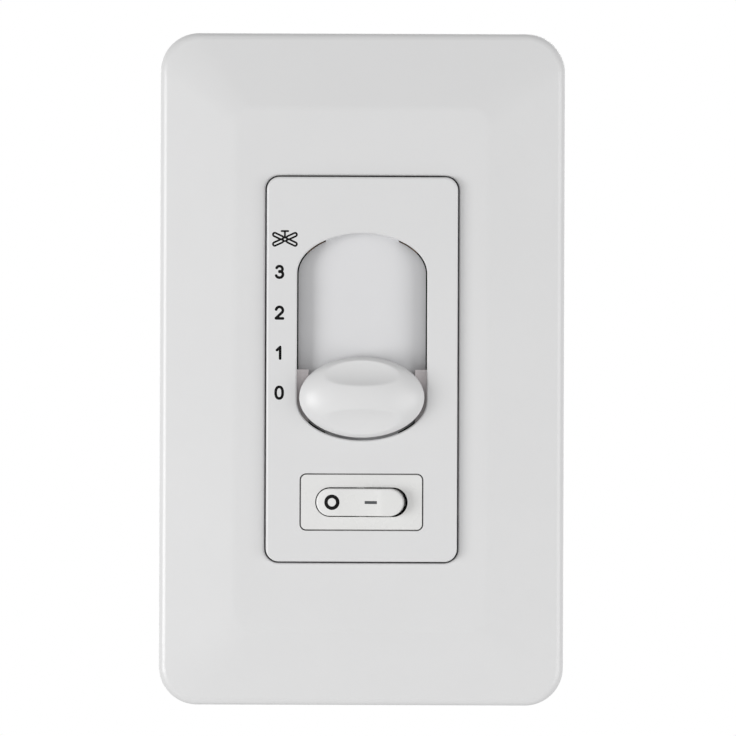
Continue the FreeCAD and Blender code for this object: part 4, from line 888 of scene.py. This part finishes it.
@dataclass
class Screw:
    """One kind of slotted screw with a cut thread, set wherever its solids stand.

    Attributes:
        node: Solid that the screws stand in for.
        places: Middle of each screw, across and up the wall, in millimetres.
        facing: 1 if the head faces out of the wall, -1 if it faces into it.
        seat: Height of the underside of the head.
        head_height: Height of the head.
        head_radius: Radius of the head at its face.
        seat_radius: Radius of the head at its underside.
        bevel: Bevel round the head's face.
        slot: Width and depth of the driving slot.
        neck: Radius and length of the plain neck below the head.
        thread_radius: Radius over the thread's crests.
        length: Length from the underside of the head to the tip.
        pitch: Distance between the thread's turns.
    """

    node: str
    places: tuple[tuple[float, float], ...]
    facing: int
    seat: float
    head_height: float
    head_radius: float
    seat_radius: float
    bevel: float
    slot: tuple[float, float]
    neck: tuple[float, float]
    thread_radius: float
    length: float
    pitch: float

    def head(self) -> list[np.ndarray]:
        """Slotted head, as strips that run across the slot.

        A strip at distance y from the slot's middle is as long as the circle's chord there.
        Strips inside the slot lie on its floor, and the rest on the face. The face's edge
        drops by the bevel, and a wall joins it to the seat.

        Returns:
            Grids of places about the middle of the seat, with z towards the head's face.
        """
        half = self.slot[0] / 2
        outer = self.head_radius * np.sin(np.linspace(math.pi / 2, math.asin(half / self.head_radius), 16))
        y = np.concatenate([-outer, [-half, 0.0, half], outer[::-1]])
        deep = np.concatenate([np.zeros(16), np.ones(3), np.zeros(16)])[:, None] * self.slot[1]
        share = np.linspace(-1.0, 1.0, 15)[None, :]
        chord = np.sqrt(np.clip(self.head_radius ** 2 - y ** 2, 0.0, None))[:, None]
        inner = (self.head_radius - self.bevel) / self.head_radius
        x = share * chord
        face = np.stack([x * inner, y[:, None] * inner + 0.0 * x, self.head_height - deep + 0.0 * x], axis=-1)
        grids = [face]
        for end in (-1.0, 1.0):
            edge_x = end * chord
            edge_y = y[:, None] + 0.0 * chord
            rim = np.array([[inner, 1.0, self.seat_radius / self.head_radius]])
            rise = np.concatenate([
                self.head_height - deep,
                np.minimum(self.head_height - deep, self.head_height - self.bevel),
                np.zeros_like(deep),
            ], axis=1)
            grids.append(np.stack([edge_x * rim, edge_y * rim, rise], axis=-1))
        flat = self.seat_radius / self.head_radius
        grids.append(np.stack([x * flat, y[:, None] * flat + 0.0 * x, 0.0 * x], axis=-1))
        return grids

    def shank(self) -> np.ndarray:
        """Neck and thread as rings down the shank.

        The radius follows a rounded wave of depth along the axis that turns once with each
        pitch, so the crest winds round as a helix. It fades in below the neck and out at
        the tip.

        Returns:
            Grid of places about the middle of the seat, with z towards the head's face.
        """
        neck_radius, neck_length = self.neck
        depth = 0.30 * self.pitch
        run = self.length - neck_length
        down = np.linspace(0.0, run, int(run / self.pitch * 10) + 1)
        turn = np.linspace(0.0, 2 * math.pi, 41)
        wave = 0.5 + 0.5 * np.cos(2 * math.pi * down[:, None] / self.pitch - turn[None, :])
        radius = self.thread_radius - depth * wave ** 1.4
        fade = np.clip(np.minimum(down, (run - down) * 1.5) / self.pitch, 0.0, 1.0)[:, None]
        core = min(neck_radius, self.thread_radius - depth) * np.ones_like(radius)
        radius = core + (radius - core) * fade
        caps = np.zeros((1, 41))
        neck = np.full((2, 41), neck_radius)
        radius = np.concatenate([caps, neck, radius, caps])
        height = np.concatenate([[0.1, 0.1, -neck_length], -neck_length - down, [-self.length]])
        level = height[:, None] + 0.0 * radius
        return np.stack([radius * np.cos(turn), radius * np.sin(turn), level], axis=-1)

    def build(self) -> bpy.types.Object:
        """Builds and dresses the screws in place of their solids.

        Returns:
            The screws as one piece.
        """
        grids = []
        for across, up in self.places:
            for grid in (*self.head(), self.shank()):
                grids.append(grid * (1.0, 1.0, self.facing) + (across, up, self.seat))
        piece = build_piece(f"{self.node}_threaded", grids, crease=35.0)
        ZINC_SCREW.dress(piece)
        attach(piece, Body.BASE.value)
        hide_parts(self.node)
        return piece


def screws() -> list[Screw]:
    """The three kinds of screw: two to the wall box, four under the plate, four in the housing.

    Returns:
        The screws, with their sizes in millimetres.
    """
    row, side = 41.65, 8.4
    case_x, case_y = 13.025, 29.55
    return [
        Screw(
            "mounting_screws", ((0.0, row), (0.0, -row)), 1, seat=1.2, head_height=2.0, head_radius=3.4,
            seat_radius=3.4, bevel=0.8, slot=(0.9, 0.8), neck=(1.5, 1.2), thread_radius=1.75, length=24.0,
            pitch=0.79,
        ),
        Screw(
            "plate_screws", ((side, row), (-side, row), (side, -row), (-side, -row)), 1, seat=1.6,
            head_height=1.2, head_radius=3.1, seat_radius=1.7, bevel=0.05, slot=(0.9, 0.6), neck=(1.5, 0.4),
            thread_radius=1.7, length=3.8, pitch=0.79,
        ),
        Screw(
            "housing_screws", ((case_x, case_y), (-case_x, case_y), (case_x, -case_y), (-case_x, -case_y)), -1,
            seat=-9.5, head_height=1.6, head_radius=2.3, seat_radius=2.3, bevel=0.6, slot=(0.9, 0.8),
            neck=(1.0, 0.6), thread_radius=1.3, length=12.0, pitch=1.0,
        ),
    ]


# Studio


@dataclass
class Softbox:
    """Square studio light that faces the object.

    Attributes:
        name: Name of the light.
        place: Where it stands, in metres.
        size: Length of its sides.
        watts: Power.
    """

    name: str
    place: Place
    size: float
    watts: float

    def build(self) -> bpy.types.Object:
        """Sets the light up, facing the origin.

        Returns:
            The light.
        """
        lamp = bpy.data.lights.new(self.name, "AREA")
        lamp.shape = "SQUARE"
        lamp.size = self.size
        lamp.energy = self.watts
        light = bpy.data.objects.new(self.name, lamp)
        light.location = self.place
        light.rotation_euler = (-Vector(self.place)).to_track_quat("-Z", "Y").to_euler()
        bpy.context.scene.collection.objects.link(light)
        return light


@dataclass
class Studio:
    """White surroundings, a pale floor, soft lights and the camera.

    Attributes:
        surround: Strength of the light from all round, for everything but what is seen directly.
        floor_height: Height of the floor in metres.
        floor_radius: Radius of the floor's disc.
        distance: Distance of the camera from the panel's face.
        span: Width of the picture at the panel's face.
        aim: Point that the middle of the picture shows, across and up.
        roll: Turn of the camera about its line of sight, in degrees.
    """

    surround: float = 0.415
    floor_height: float = -0.12
    floor_radius: float = 0.45
    distance: float = 0.6
    span: float = 0.12646
    aim: tuple[float, float] = (0.00105, 0.00024)
    roll: float = 0.2

    def softboxes(self) -> list[Softbox]:
        """Lights: a key from the left, a weaker fill from the right, a little from below, one behind.

        Returns:
            The lights, with their places in metres.
        """
        return [
            Softbox("key_left", (-0.86, -0.59, -0.10), 0.50, 6.75),
            Softbox("fill_right", (0.85, -0.60, -0.10), 0.70, 4.75),
            Softbox("lift_below", (0.0, -0.60, -0.85), 0.75, 0.8),
            Softbox("back_light", (0.40, 0.95, 0.55), 0.60, 2.0),
        ]

    def surroundings(self) -> None:
        """White where it is seen or mirrored, and a softer grey where it only gives light."""
        world = bpy.data.worlds.new("studio_white")
        bpy.context.scene.world = world
        world.use_nodes = True
        tree = world.node_tree
        grey = tree.nodes["Background"]
        grey.inputs["Color"].default_value = (1.0, 1.0, 1.0, 1.0)
        grey.inputs["Strength"].default_value = self.surround
        white = tree.nodes.new("ShaderNodeBackground")
        white.inputs["Color"].default_value = (1.0, 1.0, 1.0, 1.0)
        white.inputs["Strength"].default_value = 1.0
        path = tree.nodes.new("ShaderNodeLightPath")
        seen = tree.nodes.new("ShaderNodeMath")
        seen.operation = "MAXIMUM"
        through = tree.nodes.new("ShaderNodeMath")
        through.operation = "MAXIMUM"
        mix = tree.nodes.new("ShaderNodeMixShader")
        tree.links.new(path.outputs["Is Camera Ray"], seen.inputs[0])
        tree.links.new(path.outputs["Is Glossy Ray"], seen.inputs[1])
        tree.links.new(seen.outputs[0], through.inputs[0])
        tree.links.new(path.outputs["Is Transmission Ray"], through.inputs[1])
        tree.links.new(through.outputs[0], mix.inputs["Fac"])
        tree.links.new(grey.outputs[0], mix.inputs[1])
        tree.links.new(white.outputs[0], mix.inputs[2])
        tree.links.new(mix.outputs[0], tree.nodes["World Output"].inputs["Surface"])

    def floor(self) -> bpy.types.Object:
        """Pale round floor that fades out towards its edge, as rings of radius and angle.

        Returns:
            The floor.
        """
        radius = np.linspace(0.0, self.floor_radius, 25) / MILLIMETRE
        turn = np.linspace(0.0, -2 * math.pi, 97)
        height = np.full((25, 97), self.floor_height / MILLIMETRE)
        disc = np.stack([np.outer(radius, np.cos(turn)), height, np.outer(radius, np.sin(turn))], axis=-1)
        floor = build_piece("studio_floor", [disc])
        made = bpy.data.materials.new("floor_pale_paper")
        made.use_nodes = True
        tree = made.node_tree
        shader = tree.nodes["Principled BSDF"]
        shader.inputs["Base Color"].default_value = (0.88, 0.88, 0.88, 1.0)
        shader.inputs["Roughness"].default_value = 0.8
        shader.inputs["Emission Color"].default_value = (1.0, 1.0, 1.0, 1.0)
        shader.inputs["Emission Strength"].default_value = 0.06
        place = tree.nodes.new("ShaderNodeTexCoord")
        spread = tree.nodes.new("ShaderNodeVectorMath")
        spread.operation = "LENGTH"
        fade = tree.nodes.new("ShaderNodeMapRange")
        fade.interpolation_type = "SMOOTHSTEP"
        fade.inputs["From Min"].default_value = self.floor_radius * 0.45
        fade.inputs["From Max"].default_value = self.floor_radius * 0.98
        fade.inputs["To Min"].default_value = 1.0
        fade.inputs["To Max"].default_value = 0.0
        tree.links.new(place.outputs["Object"], spread.inputs[0])
        tree.links.new(spread.outputs["Value"], fade.inputs["Value"])
        tree.links.new(fade.outputs["Result"], shader.inputs["Alpha"])
        floor.data.materials.append(made)
        floor.visible_shadow = False
        return floor

    def camera(self) -> bpy.types.Object:
        """Camera square to the panel, far enough back for a flat view.

        Returns:
            The camera.
        """
        lens = bpy.data.cameras.new("camera")
        lens.sensor_width = 36.0
        lens.lens = 36.0 * self.distance / self.span
        lens.clip_start = 0.01
        lens.clip_end = 20.0
        viewer = bpy.data.objects.new("camera", lens)
        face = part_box("face_panel")[0][1]
        viewer.location = (self.aim[0], face - self.distance, self.aim[1])
        viewer.rotation_euler = (math.pi / 2, -math.radians(self.roll), 0.0)
        bpy.context.scene.collection.objects.link(viewer)
        bpy.context.scene.camera = viewer
        return viewer

    def build(self) -> None:
        """Sets up the whole studio."""
        bpy.context.scene.view_settings.view_transform = "Standard"
        self.surroundings()
        self.floor()
        for box in self.softboxes():
            box.build()
        self.camera()


def dress_nodes() -> None:
    """Gives every shown solid its finish."""
    for name, finish in NODE_FINISHES.items():
        finish.dress(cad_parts[name])
        log.info("dressed %s with %s", name, finish.name)


def main() -> None:
    """Builds the sub-assemblies in order and reports each piece."""
    logging.basicConfig(level=logging.INFO, format="%(name)s: %(message)s")
    dress_nodes()
    pieces = [SlideKnob().build()]
    pieces += RockerButton().build()
    pieces += PanelMarks().build()
    pieces += [screw.build() for screw in screws()]
    for piece in pieces:
        log.info("built %s with %d faces", piece.name, len(piece.data.polygons))
    Studio().build()


if __name__ == "__main__":
    main()
